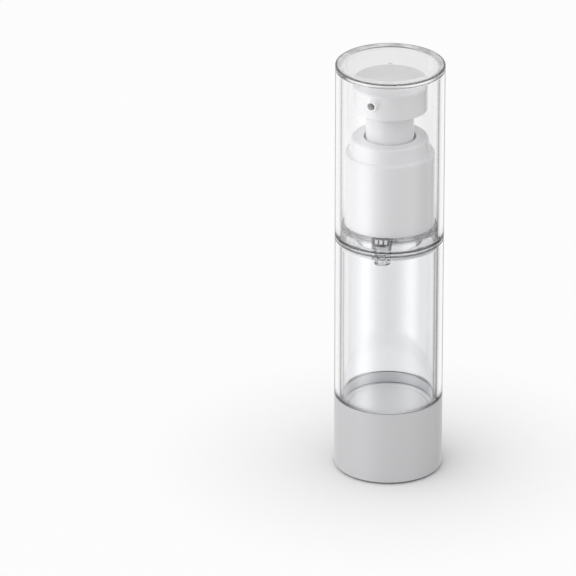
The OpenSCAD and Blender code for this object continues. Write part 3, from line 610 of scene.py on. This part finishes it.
well_z0 = peg_z0 - peg_gap - well_floor
at_peg = Matrix.Rotation(PEG_BEARING, 4, "Z") @ Matrix.Translation((0, -peg_reach, 0))

bottle = lathe("inner_bottle_clear", rounded([
    [bottle_ir, bottle_z0, 0.15 * MM],
    [bottle_r, bottle_z0, 0.15 * MM],
    [bottle_r, snap_z0, 0.05 * MM],
    [bottle_r + snap_depth, snap_z0 + snap_depth, 0.05 * MM],
    [bottle_r + snap_depth, snap_z1 - snap_depth, 0.05 * MM],
    [bottle_r, snap_z1, 0.05 * MM],
    [bottle_r, shoulder_z1, 0.65 * MM],
    [neck_r, shoulder_z1, 0.1 * MM],
    [neck_r, bead_z0, 0.05 * MM],
    [bead_r, bead_z0, 0.05 * MM],
    [bead_r, bead_z0 + bead_land, 0.05 * MM],
    [neck_r, bead_z1, 0.1 * MM],
    [neck_r, neck_z1, 0.3 * MM],
    [neck_ir, neck_z1, 0.1 * MM],
    [neck_ir, shoulder_z0, 0.15 * MM],
    [bottle_ir, shoulder_z0, 0.65 * MM],
]))
well = lathe("well", rounded([
    [0, well_z0, 0],
    [well_r, well_z0, 0.5 * MM],
    [well_r, shoulder_z1 - shoulder_t / 2, 0.05 * MM],
    [0, shoulder_z1 - shoulder_t / 2, 0],
], closed=False), WELL_ROUND, at_peg)
inside_r, inside_z1 = bottle_r - 0.3 * MM, shoulder_z1 - 0.2 * MM
inside = lathe("inside", [[0, well_z0 - OVERRUN], [inside_r, well_z0 - OVERRUN],
                          [inside_r, inside_z1], [0, inside_z1]])
well_bore = lathe("well_bore", rounded([
    [0, well_z0 + well_floor, 0],
    [well_ir, well_z0 + well_floor, 0.15 * MM],
    [well_ir, shoulder_z1 + OVERRUN, 0.05 * MM],
    [0, shoulder_z1 + OVERRUN, 0],
], closed=False), WELL_ROUND, at_peg)
worked(well, ("INTERSECT", [inside]))
worked(bottle, ("UNION", [well]), ("DIFFERENCE", [well_bore]))


def across_boss(recipe):
    """Distance from the plane through the axis and the peg."""
    level = (math.cos(PEG_BEARING), math.sin(PEG_BEARING), 0)
    return recipe.add("ShaderNodeVectorMath", {"operation": "DOT_PRODUCT"}, recipe.place(), level,
                      out="Value")


def bottle_painted_light(recipe):
    """A painted glow on the rim of the shoulder, as on the cap's top edge, but not where the well stands.
    """
    rim = (recipe.reach() > rim_r) * (recipe.height() > rim_z)
    beside = 1 - across_boss(recipe).near(0, well_r + rim_pause, 8.0)
    return [(rim * beside * 0.8, PAINTED_GLOW_WHITE, 0.2)]


# Where the shoulder's painted glow lies.
rim_r, rim_z, rim_pause = bottle_r - 0.6 * MM, shoulder_z0 - 0.1 * MM, 0.4 * MM
bottle_clear = clear_plastic("clear_bottle", (0.98, 0.982, 0.987), 0.01, 3.0, painted_light=bottle_painted_light)
dress(bottle, "bottle", "bottle_clear", bottle_clear, "inner_bottle")

# %% [markdown]
# The shoulder ring closes the outer tube and carries the cap. A flange shows as a thin clear band
# between the two, and a spigot stands up inside the cap with a small bead that grips it. A lip at the
# spigot's top carries the white collar, and a boss inside it, hollowed by three cells, ends in the
# peg that keeps ring and bottle in one position.

# %% Shoulder ring
ring_z1 = top("shoulder_ring")
flange_z1 = cap_z0
neck_gap, step_gap = 0.4 * MM, 0.03 * MM
ring_ir = neck_r + neck_gap
step_r = tube_ir - step_gap
spigot_ir, lip_ir, lip_t = 12.49 * MM, 11.55 * MM, 1.2 * MM
grip_gap, grip_t, grip_w = 0.05 * MM, 0.12 * MM, 0.8 * MM
grip_r = cap_ir - grip_gap
spigot_r = grip_r - grip_t
grip_z1 = ring_z1 - grip_w
grip_z0 = grip_z1 - grip_w
ring = lathe("shoulder_ring_clear", rounded([
    [spigot_ir, shoulder_z1 + AIR, 0.1 * MM],
    [step_r, shoulder_z1 + AIR, 0.12 * MM],
    [step_r, tube_z1, 0.05 * MM],
    [body_r, tube_z1, 0.18 * MM],
    [body_r, flange_z1, 0.22 * MM],
    [spigot_r, flange_z1, 0.08 * MM],
    [spigot_r, grip_z0, 0.1 * MM],
    [grip_r, grip_z0 + grip_t, 0.08 * MM],
    [grip_r, grip_z1 - grip_t, 0.08 * MM],
    [spigot_r, grip_z1, 0.1 * MM],
    [spigot_r, ring_z1, 0.22 * MM],
    [lip_ir, ring_z1, 0.1 * MM],
    [lip_ir, ring_z1 - lip_t, 0.1 * MM],
    [spigot_ir, ring_z1 - lip_t, 0.1 * MM],
]))
boss_r, boss_h, peg_end, boss_start = 2.7 * MM, 1.23 * MM, 0.2 * MM, 0.3 * MM
boss = lathe("boss", rounded([
    [0, peg_z0, 0],
    [peg_r, peg_z0, 0.4 * MM],
    [peg_r, tube_z1 + peg_end, 0.02 * MM],
    [well_r, tube_z1 + boss_start, 0.02 * MM],
    [well_r, flange_z1, 0.3 * MM],
    [boss_r, ring_z1 - boss_h, 0.3 * MM],
    [boss_r, ring_z1, 0.12 * MM],
    [0, ring_z1, 0],
], closed=False), BUSH_ROUND, at_peg)
band_r, band_ir, band_step_z = spigot_r - 0.25 * MM, ring_ir + 0.02 * MM, shoulder_z1 + 0.1 * MM
band = lathe("band", [[0, peg_z0 - OVERRUN], [band_r, peg_z0 - OVERRUN],
                      [band_r, ring_z1 + OVERRUN], [band_ir, ring_z1 + OVERRUN],
                      [band_ir, band_step_z], [0, band_step_z]])
rib_t, pocket_w, pocket_d = 0.35 * MM, 3.4 * MM, 0.9 * MM
cell_w = (pocket_w - 2 * rib_t) / 3
pocket_z0 = flange_z1 + (ring_z1 - flange_z1) / 3
cell_middles = [i * (cell_w + rib_t) for i in (-1, 0, 1)]
cells = [block("cell", (x - cell_w / 2, -pocket_d / 2, pocket_z0),
               (x + cell_w / 2, pocket_d / 2, ring_z1 + OVERRUN), at_peg) for x in cell_middles]
worked(boss, ("INTERSECT", [band]))
worked(ring, ("UNION", [boss]), ("DIFFERENCE", cells))


def ring_painted_light(recipe):
    """Layers of painted light and shade on the ring. out is the distance from the axis towards the
    boss. The lip and the boss are thick, and a painted shade greys them; the three cells get a
    painted highlight, below them lies a painted shadow of their floor, and the low step gets a
    painted light."""
    across, high = across_boss(recipe), recipe.height()
    out = recipe.add("ShaderNodeVectorMath", {"operation": "DOT_PRODUCT"}, recipe.place(),
                     (math.sin(PEG_BEARING), -math.cos(PEG_BEARING), 0), out="Value")
    in_line = across.near(0, boss_r, 8.0)
    at_boss = in_line * (out > ring_ir)
    painted_lit_cells = sum((across.near(x, lit_half) for x in cell_middles), 0.0).held()
    low_step = (step_light_z - high) > 0
    return [(low_step * (1 - in_line) * 0.6, PALE_GREY, 0.3),
            ((high > lip_shade_z) * 0.3, PAINTED_SHADE_GREY, 0.3),
            (at_boss * (high > boss_shade_z) * 0.4, PAINTED_SHADE_GREY, 0.3),
            (painted_lit_cells * at_boss * high.near(lit_z, lit_h) * 0.8, PALE_GREY, 0.3),
            (across.near(0, cell_floor_shade_half) * at_boss * high.near(cell_floor_shade_z, cell_floor_shade_h) * 0.8, PAINTED_SHADE_DARK, 0.3)]


# Heights and widths of the ring's painted light and shade.
step_light_z, boss_shade_z = tube_z1 - 0.15 * MM, flange_z1 + 0.4 * MM
lip_shade_z = ring_z1 - lip_t - 0.2 * MM
lit_half, lit_z, lit_h = 0.42 * MM, pocket_z0 + 1.7 * MM, 0.65 * MM
cell_floor_shade_half, cell_floor_shade_z, cell_floor_shade_h = 1.3 * MM, pocket_z0 + 0.55 * MM, 0.4 * MM
ring_clear = clear_plastic("clear_ring", (0.97, 0.972, 0.98), 0.005, 10.0, painted_light=ring_painted_light)
dress(ring, "bottle", "ring_clear", ring_clear, "shoulder_ring")

# %% [markdown]
# The base is a satin cup pressed on from below. Its skin is dull because its mould was blasted, and
# a small step round its foot keeps that skin off the table. The thin dark line there is partly the
# step's own shade and partly painted shade, and the inside of the cup is painted paler, a painted
# light. Inside are the ribs that stop the follower, and underneath a recess with the vent hole.

# %% Base cup
foot_recess, floor_t, foot_w = 0.8 * MM, 1.6 * MM, 2.2 * MM
foot_step, foot_step_h, foot_slope = 0.5 * MM, 0.6 * MM, 0.4 * MM
bottle_gap, plug_gap, socket_h = 0.05 * MM, 0.03 * MM, 3.1 * MM
base_ir = bottle_r + bottle_gap
socket_z0 = base_z1 - socket_h
socket_r = plug_r + plug_gap
vent_r = 0.75 * MM
floor_z1 = foot_recess + floor_t
rib_z1 = foot("follower_piston")
groove_r, groove_z0, groove_z1 = base_ir + 0.18 * MM, snap_z0 - AIR, snap_z1 + AIR
groove_slope = 0.15 * MM
base_cup = lathe("base_cup_satin", rounded([
    [vent_r, foot_recess, 0.1 * MM],
    [body_r - foot_w - foot_slope, foot_recess, 0.25 * MM],
    [body_r - foot_w, 0, 0.2 * MM],
    [body_r - foot_step, 0, 0.1 * MM],
    [body_r - foot_step, foot_step_h, 0.05 * MM],
    [body_r, foot_step_h, 0.2 * MM],
    [body_r, base_z1, 0.12 * MM],
    [socket_r, base_z1, 0.1 * MM],
    [socket_r, socket_z0, 0.08 * MM],
    [base_ir, socket_z0, 0.08 * MM],
    [base_ir, groove_z1, 0.03 * MM],
    [groove_r, groove_z1 - groove_slope, 0.03 * MM],
    [groove_r, groove_z0 + groove_slope, 0.03 * MM],
    [base_ir, groove_z0, 0.03 * MM],
    [base_ir, floor_z1, 0.15 * MM],
    [vent_r, floor_z1, 0.1 * MM],
]))
rib_half, rib_reach = 0.6 * MM, 12.2 * MM
ribs = [block("rib", (2 * vent_r, -rib_half, foot_recess + floor_t / 2), (rib_reach, rib_half, rib_z1),
              Matrix.Rotation(math.radians(30 + 60 * i), 4, "Z")) for i in range(6)]
worked(base_cup, ("UNION", ribs))
# The base's own grey, painted paler inside, a painted light, and painted dark below its foot's step, a
# painted shade.
painted_light_inset = 0.4 * MM
base_plastic = moulding("base_satin", (0.60, 0.60, 0.61), 0.38, 0.006 * MM, 3500.0,
                        painted_light_and_shade=(foot_step_h, body_r - painted_light_inset, (0.82, 0.82, 0.825)))
dress(base_cup, "bottle", "base_plastic", base_plastic, "base_cup")

# %% [markdown]
# The follower is the piston that rises under the product. From above only its crown shows, a flat
# disc with a groove behind the wiper lip, dimly lit through the wall of the bottle.

# %% Follower piston
follower_z0, follower_z1 = foot("follower_piston"), top("follower_piston")
wiper_t, wiper_h, wiper_gap = 0.56 * MM, 2.2 * MM, 0.05 * MM
moat_w, moat_h, rim_step, disc_t = 0.8 * MM, 1.4 * MM, 0.35 * MM, 1.2 * MM
skirt_t, web_h, wiper_edge, wiper_land, wiper_nib = 1.0 * MM, 2.6 * MM, 0.2 * MM, 0.4 * MM, 0.15 * MM
lip_r = bottle_ir - wiper_gap
skirt_r = lip_r - rim_step
skirt_ir = skirt_r - skirt_t
crown_r = lip_r - wiper_t - moat_w - rim_step
crown_z0 = follower_z1 - disc_t
follower = lathe("follower_disc", rounded([
    [0, crown_z0, 0],
    [crown_r - 1.2 * MM, crown_z0, 0.4 * MM],
    [crown_r - 0.7 * MM, follower_z1 - web_h, 0.3 * MM],
    [skirt_ir - 0.3 * MM, follower_z1 - web_h, 0.4 * MM],
    [skirt_ir, follower_z0 + wiper_h, 0.3 * MM],
    [lip_r - wiper_t, follower_z0, 0.05 * MM],
    [lip_r - 0.1 * MM, follower_z0, 0.05 * MM],
    [lip_r, follower_z0 + wiper_edge, 0.08 * MM],
    [lip_r, follower_z0 + wiper_land, 0.08 * MM],
    [skirt_r, follower_z0 + wiper_h, 0.3 * MM],
    [skirt_r, follower_z1 - wiper_h, 0.3 * MM],
    [lip_r, follower_z1 - wiper_land, 0.08 * MM],
    [lip_r, follower_z1 - wiper_nib, 0.05 * MM],
    [lip_r - wiper_nib, follower_z1, 0.05 * MM],
    [lip_r - wiper_t, follower_z1 - rim_step, 0.1 * MM],
    [lip_r - wiper_t - wiper_edge, follower_z1 - moat_h, 0.12 * MM],
    [crown_r + 0.5 * MM, follower_z1 - moat_h, 0.12 * MM],
    [crown_r + 0.3 * MM, follower_z1 - 0.3 * MM, 0.1 * MM],
    [crown_r, follower_z1, 0.15 * MM],
    [0, follower_z1, 0],
], closed=False))
dress(follower, "follower", "follower_plastic", follower_plastic, "follower_piston")

# %% [markdown]
# The collar hides the closure and most of the pump. It is a plain cylinder that stands on the
# ring's lip, with a raised ring on top, and its opening is lined by a short sleeve that guides the
# button's skirt.

# %% Collar
collar_z0, crown_top = foot("collar_shell"), top("collar_shell")
shelf_h, straight_h = 21.1 * MM, 12 * MM
shelf_z1 = collar_z0 + shelf_h
collar_ir, collar_r = walls("collar_shell", collar_z0 + straight_h)
crown_t, lining_wall, lining_h = 1.2 * MM, 0.9 * MM, 2.9 * MM
opening_r = 7.15 * MM
crown_foot_r, crown_top_r = 11.2 * MM, 10.5 * MM
collar = lathe("collar_gloss", rounded([
    [collar_ir, collar_z0 + AIR, 0.1 * MM],
    [collar_r, collar_z0 + AIR, 0.2 * MM],
    [collar_r, shelf_z1, 0.4 * MM],
    [crown_foot_r, shelf_z1, 0.25 * MM],
    [crown_top_r, crown_top, 0.8 * MM],
    [opening_r, crown_top, 0.2 * MM],
    [opening_r, crown_top - lining_h, 0.15 * MM],
    [opening_r + lining_wall, crown_top - lining_h, 0.15 * MM],
    [opening_r + lining_wall, crown_top - crown_t, 0.15 * MM],
    [crown_top_r - crown_t, crown_top - crown_t, 0.3 * MM],
    [crown_foot_r - crown_t, shelf_z1 - crown_t, 0.2 * MM],
    [collar_ir, shelf_z1 - crown_t, 0.2 * MM],
]))
dress(collar, "bottle", "collar_gloss", collar_gloss, "collar_shell")

# %% [markdown]
# The button is a short drum, open underneath, with a skirt that dives into the collar, a socket for
# the stem, five ribs and a duct that leads to the nozzle. The drum, skirt and socket are one turned
# outline; the ribs and the duct are joined to it, and the bores are cut last.

# %% Push button
head_z0 = foot("actuator_head")
head_r, head_h = 10.25 * MM, 7.1 * MM
button_z1 = top("actuator_head")
button_z0 = button_z1 - head_h
head_wall, head_top_t = 1.05 * MM, 1.3 * MM
inside_z1 = button_z1 - head_top_t
skirt_or, skirt_in = 6.6 * MM, 5.7 * MM
stem_r, stem_gap, socket_wall = 2.4 * MM, 0.05 * MM, 1.2 * MM
stem_bore, socket_or = stem_r + stem_gap, stem_r + stem_gap + socket_wall
socket_drop, socket_roof = 10.05 * MM, 4.0 * MM
socket_low, socket_high = button_z1 - socket_drop, button_z1 - socket_roof
nozzle_drop, block_wall = 2.8 * MM, 0.9 * MM
nozzle_z = button_z1 - nozzle_drop
nozzle_r, nozzle_plug_r, duct_r = 1.55 * MM, 1.35 * MM, 0.8 * MM
block_r = nozzle_plug_r + block_wall
button = lathe("push_button", rounded([
    [0, socket_high, 0],
    [stem_bore, socket_high, 0.1 * MM],
    [stem_bore, socket_low, 0.2 * MM],
    [socket_or, socket_low, 0.15 * MM],
    [socket_or, inside_z1, 0.3 * MM],
    [skirt_in, inside_z1, 0.3 * MM],
    [skirt_in, head_z0, 0.15 * MM],
    [skirt_or, head_z0, 0.2 * MM],
    [skirt_or, inside_z1, 0.3 * MM],
    [head_r - head_wall, inside_z1, 0.4 * MM],
    [head_r - head_wall, button_z0, 0.15 * MM],
    [head_r, button_z0, 0.25 * MM],
    [head_r, button_z1, 0.7 * MM],
    [0, button_z1, 0],
], closed=False))


lying = Matrix.Translation((0, 0, nozzle_z)) @ Matrix.Rotation(math.radians(90), 4, "X")
plug_depth, face_depth, seat_end, duct_start = 2.6 * MM, 0.12 * MM, 0.05 * MM, 0.2 * MM


def along_nozzle(name, radius, start, end):
    """A rod along the nozzle's axis, from one distance in front of the bottle's axis to another."""
    return lathe(name, [[0, start], [radius, start], [radius, end], [0, end]], ROD_ROUND, lying)


drum_bite, drum_mid = head_r - head_wall / 2, inside_z1 + head_top_t / 2
block_start, stiffener_start = stem_bore + 0.4 * MM, stem_bore + 0.6 * MM
stiffener_half, stiffener_h = 0.45 * MM, 3.5 * MM
duct_block = block("duct_block", (-block_r, -drum_bite, nozzle_z - block_r),
                   (block_r, -block_start, drum_mid))
stiffeners = [block("stiffener", (stiffener_start, -stiffener_half, inside_z1 - stiffener_h),
                    (drum_bite, stiffener_half, drum_mid),
                    Matrix.Rotation(math.radians(60 * i - 90), 4, "Z")) for i in range(1, 6)]
bores = [along_nozzle("duct", duct_r, duct_start, head_r - plug_depth),
         along_nozzle("seat", nozzle_plug_r + AIR, head_r - plug_depth - seat_end, head_r + OVERRUN),
         along_nozzle("face", nozzle_r + AIR, head_r - face_depth, head_r + OVERRUN)]
worked(button, ("UNION", [duct_block] + stiffeners), ("DIFFERENCE", bores))
true_round(button, head_r)
dress(button, "button", "button_gloss", button_gloss, "actuator_head")

# %% [markdown]
# The nozzle is a separate white bush pressed into the button. It is turned about its own axis, which
# lies along -Y: a rounded lip, a wide mouth and the fine orifice behind it. The mouth is painted
# grey, a painted shade for the little light that gets into so small a hole.

# %% Nozzle
nozzle_tip = -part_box("nozzle_insert")[0].y
mouth_r, orifice_r, mouth_depth = 1.0 * MM, 0.4 * MM, 2.2 * MM
hole_spill, hole_fade = 0.04 * MM, 0.1 * MM
nozzle = lathe("nozzle_ring", rounded([
    [orifice_r, head_r - plug_depth, 0.04 * MM],
    [nozzle_plug_r, head_r - plug_depth, 0.1 * MM],
    [nozzle_plug_r, head_r - face_depth, 0.03 * MM],
    [nozzle_r, head_r - face_depth, 0.03 * MM],
    [nozzle_r, nozzle_tip, 0.22 * MM],
    [mouth_r, nozzle_tip, 0.22 * MM],
    [mouth_r, nozzle_tip - mouth_depth, 0.1 * MM],
    [orifice_r, nozzle_tip - mouth_depth, 0.04 * MM],
]), BUSH_ROUND, lying)


def bush_white_with_hole_shade(name, lip, hole_shade):
    """White on the rounded lip, and a painted shade in the hole, within the mouth's radius of its axis."""
    recipe = Recipe(name)
    spot = recipe.add("ShaderNodeTexCoord", out="Object")
    apart = recipe.add("ShaderNodeVectorMath", {"operation": "MULTIPLY"}, spot, (1, 0, 1))
    reach = recipe.add("ShaderNodeVectorMath", {"operation": "DISTANCE"}, apart, (0, 0, nozzle_z),
                       out="Value")
    # Painted shade in the nozzle's mouth.
    within = ((mouth_r + hole_spill - reach) * (1 / hole_fade)).held()
    return recipe.finish(
        Base_Color=recipe.blend(within, lip, hole_shade),
        Roughness=within * 0.3 + 0.2,
        IOR=WHITE_INDEX,
        Normal=recipe.bump(recipe.grain(2200.0), 0.0008 * MM),
    )


dress(nozzle, "button", "nozzle_gloss", bush_white_with_hole_shade("nozzle_white", PALE_GREY, PAINTED_SHADE_GREY),
      "nozzle_insert")

# %% [markdown]
# The return spring is a coil of round wire: six open turns between a closer turn at each end. The
# wire's centre climbs with the angle, and a ring of points stands across it at every step. The
# spring is pressed together as the button goes down; here it is built at its free length.

# %% Return spring
TURNS, WIRE_SIDES, STEPS = 8, 16, 48
spring_low, spring_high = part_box("return_spring")
wire_r, end_pitch = 0.3 * MM, 1.05 * MM
coil_r = spring_high.x - wire_r
stroke = next(j for j in frame["joints"] if j["name"] == "button_press")["range_m"][1]
free_length = spring_high.z - spring_low.z


def coil(name):
    """The centre of the wire lies at coil_r cos t, coil_r sin t and a height that rises by the end
    pitch in the first and last turn and evenly between them. A ring of points stands on it in the
    plane of the outward and the upward direction."""
    turn = np.linspace(0, TURNS, TURNS * STEPS + 1)
    rise = free_length - 2 * wire_r
    height = spring_low.z + wire_r + np.interp(turn, [0, 1, TURNS - 1, TURNS],
                                               [0, end_pitch, rise - end_pitch, rise])
    across = np.linspace(0, 2 * math.pi, WIRE_SIDES, endpoint=False)
    out = coil_r + wire_r * np.cos(across)[None]
    angle = 2 * math.pi * turn[:, None]
    points = np.stack([out * np.cos(angle), out * np.sin(angle),
                       height[:, None] + wire_r * np.sin(across)[None]], -1).reshape(-1, 3)
    i, j = np.meshgrid(np.arange(len(turn) - 1), np.arange(WIRE_SIDES), indexing="ij")
    k = (j + 1) % WIRE_SIDES
    sides = np.stack([i * WIRE_SIDES + j, i * WIRE_SIDES + k, (i + 1) * WIRE_SIDES + k,
                      (i + 1) * WIRE_SIDES + j], -1).reshape(-1, 4)
    ends = [list(range(WIRE_SIDES))[::-1], list(range(len(points) - WIRE_SIDES, len(points)))]
    return as_piece(name, points, sides.tolist() + ends)


spring = coil("return_coil")
dress(spring, "bottle", "spring_steel", spring_steel, "return_spring")
(free_length - stroke) / free_length
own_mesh(spring)
print("spring pressed from", round(free_length / MM, 2), "to", round((free_length - stroke) / MM, 2), "mm")

# %% [markdown]
# The inner pump parts keep their CAD solids, whose turned shapes are already right. They only need
# their finishes, which go into the material slots of the nodes.

# %% Finish the inner pump parts
kept = {"neck_gasket": gasket_foam, "pump_housing": pump_plastic, "stem_guide": pump_plastic,
        "snap_fitment": pump_plastic, "pump_stem": pump_plastic, "stem_foot": pump_plastic,
        "pump_piston": seal_plastic, "inlet_ball": valve_steel}
for node, material in kept.items():
    frame["nodes"][node].data.materials.clear()
    frame["nodes"][node].data.materials.append(material)
print("finished", len(kept), "CAD nodes")

# %% [markdown]
# The table is one wide white disc. Its paint is white, greyed close to the bottle by a painted
# shadow, and it takes the bottle's real shadow too. To keep the background as white as paper without
# more light on the bottle, what the camera sees of it turns from its lit colour at the foot of the
# bottle to a steady white further out. Gloss and clear plastic look past the table, at the white
# sweep and the cards that the studio light below puts there.

# %% Floor
FLOOR_R, FLOOR_T, FLOOR_ROUND = 3.0, 2 * MM, 96
# Paint colours: greyer near the bottle, a painted shadow, and white further out.
PAINTED_SHADOW_NEAR, FAR_PAINT = (0.8, 0.8, 0.803), (0.93, 0.93, 0.933)
STEADY_WHITE = (0.985, 0.985, 0.987, 1)
LIFT, LIFT_START, LIFT_END = (0.0, 0.95), 15 * MM, 70 * MM


def table(radius, lift, near, far):
    """A flat disc at height 0, lit white paint mixed with a steady white by lift, a pair of shares:
    the first at the distance near from the bottle's axis and the second from far on. Between the two
    distances the share grows as the square root of the way gone, and the painted shadow that greys
    the paint near the bottle fades in the same way."""
    floor = lathe("floor", [[0, -FLOOR_T], [radius, -FLOOR_T], [radius, 0], [0, 0]], FLOOR_ROUND)
    recipe = Recipe("paper_white")
    away = ((recipe.reach() - near) * (1 / (far - near))).held() ** 0.5
    camera_ray = recipe.add("ShaderNodeLightPath", out="Is Camera Ray")
    seen = camera_ray * (away * (lift[1] - lift[0]) + lift[0])
    # The paint greys near the bottle, a painted shadow.
    paint = recipe.add("ShaderNodeBsdfDiffuse", {}, recipe.blend(away, PAINTED_SHADOW_NEAR, FAR_PAINT))
    glow = recipe.add("ShaderNodeEmission", {}, STEADY_WHITE, 1.0)
    mixed = recipe.add("ShaderNodeMixShader", {}, seen, paint, glow)
    recipe.tree.links.new(mixed.socket, recipe.output.inputs["Surface"])
    floor.data.materials.append(recipe.material)
    floor.visible_glossy = floor.visible_transmission = False


table(FLOOR_R, LIFT, LIFT_START, LIFT_END)
print("floor radius in m:", FLOOR_R)

# %% [markdown]
# The light is a studio drawn on the world: every direction has its own brightness. Above the horizon
# a broad panel to the left is the main light, a softer one stands in front beside the camera, a third
# to the right, and the wall behind the bottle gives a little. The camera looks down, and a ray keeps
# its slope at every upright wall, so what shows in the sides of the bottle lies below the horizon.
# There the sweep is white, with bright cards in front on either side, and dark cards straight ahead,
# at the sides and behind, which draw the grey lines along the edges of the clear walls, as a
# photographer of glass sets them. A lobe is a power of the cosine between a direction and the middle
# of its panel, so each panel fades softly.

# %% Studio light
VIEW_TURN = math.radians(27)
CAMERA_WHITE, DARKEST_CARD, HORIZON_STEEPNESS = 0.98, 0.03, 20.0
ROOM, SWEEP = 0.03, 0.97
PANELS = [(-85, 35, 1.2, 6), (-10, 30, 0.95, 6), (90, 20, 0.75, 6), (180, 20, 0.45, 6), (0, 90, 0.1, 3)]
CARDS = [(0, -0.72, 7), (-55, 0.8, 33), (55, 0.35, 33), (128, -0.85, 262), (-130, -0.5, 200),
         (-90, -0.35, 66), (80, -0.55, 12), (-75, 0.3, 10)]


def toward(bearing, rise):
    """The direction at this bearing from the camera's side, counted to the right, and this rise."""
    a, e = VIEW_TURN + math.radians(bearing), math.radians(rise)
    return (math.sin(a) * math.cos(e), -math.cos(a) * math.cos(e), math.sin(e))


def studio(sky, panels, sweep, cards):
    """A panel is a bearing, a rise, a strength and a power; a card is the same without the rise. Above
    the horizon the brightness is sky + the sum of strength times ((1 + cosine) / 2) to a power, over
    the panels. Below it the same sum over the cards is added to the sweep, with the cosine taken
    between level directions, so that a card reaches from the horizon down."""
    world = bpy.data.worlds.new("studio")
    bpy.context.scene.world = world
    world.use_nodes = True
    tree = world.node_tree
    tree.nodes.clear()

    def make(*values, **named):
        """A node in the world's tree."""
        return Recipe.node(tree, *values, **named)

    look = make("ShaderNodeTexCoord", {}, out="Generated")
    level = make("ShaderNodeVectorMath", {"operation": "MULTIPLY"}, look, (1, 1, 0))
    level = make("ShaderNodeVectorMath", {"operation": "NORMALIZE"}, level)

    def lobe(direction, middle, strength, tight):
        """The brightness that one panel or card gives a direction."""
        cosine = make("ShaderNodeVectorMath", {"operation": "DOT_PRODUCT"}, direction, middle,
                      out="Value")
        return ((cosine + 1.0) * 0.5).held() ** tight * strength

    above = sum((lobe(look, toward(bearing, rise), *rest) for bearing, rise, *rest in panels), sky)
    below = sum((lobe(level, toward(bearing, 0), *rest) for bearing, *rest in cards), sweep)
    height = make("ShaderNodeSeparateXYZ", {}, look, out="Z")
    up = (height * HORIZON_STEEPNESS + 0.5).held()
    cards_lit = make("ShaderNodeMath", {"operation": "MAXIMUM"}, below, DARKEST_CARD)
    brightness = above * up + cards_lit * (1 - up)
    camera_ray = make("ShaderNodeLightPath", {}, out="Is Camera Ray")
    strength = brightness * (1 - camera_ray) + camera_ray * CAMERA_WHITE
    light = make("ShaderNodeBackground", {}, (1, 1, 1, 1), strength)
    output = tree.nodes.new("ShaderNodeOutputWorld")
    tree.links.new(light.socket, output.inputs["Surface"])


studio(ROOM, PANELS, SWEEP, CARDS)
print("studio with", len(PANELS), "panels and", len(CARDS), "cards")

# %% [markdown]
# The camera stands well back with a long lens and looks down at the bottle by about a quarter of a
# right angle. Its place and pitch were fitted to the rims and edges seen in the photo. The place is
# written in a frame turned so that the camera looks along +Y, and then turned by the same angle as
# the light.

# %% Camera
LENS, SENSOR, PITCH = 439.2, 36.0, math.radians(24.5225)
SIDEWAYS, BACK, UP = -0.027818, -1.76159, 0.856684
NEAREST, FURTHEST = 0.1, 20.0
stand = Matrix.Rotation(VIEW_TURN, 4, "Z") @ Vector((SIDEWAYS, BACK, UP))
camera = bpy.data.objects.new("camera", bpy.data.cameras.new("camera"))
camera.data.lens = LENS
camera.data.sensor_width = SENSOR
camera.data.clip_start, camera.data.clip_end = NEAREST, FURTHEST
camera.location = stand
camera.rotation_euler = (math.radians(90) - PITCH, 0, VIEW_TURN)
bpy.context.scene.collection.objects.link(camera)
bpy.context.scene.camera = camera
bpy.context.scene.view_settings.view_transform = "Standard"
print("camera at", [round(x, 4) for x in stand])

# %% [markdown]
# Light that crosses the cap and the double wall passes a dozen faces on its way, so the paths are
# allowed more bends than usual. Filter Glossy is off, because it would frost the clear walls for the
# light that reaches the white pump through them.

# %% Light paths
cycles = bpy.context.scene.cycles
cycles.max_bounces = cycles.transmission_bounces = 40
cycles.glossy_bounces = 12
cycles.diffuse_bounces = 6
cycles.blur_glossy = 0.0
print("bends per path:", cycles.transmission_bounces)
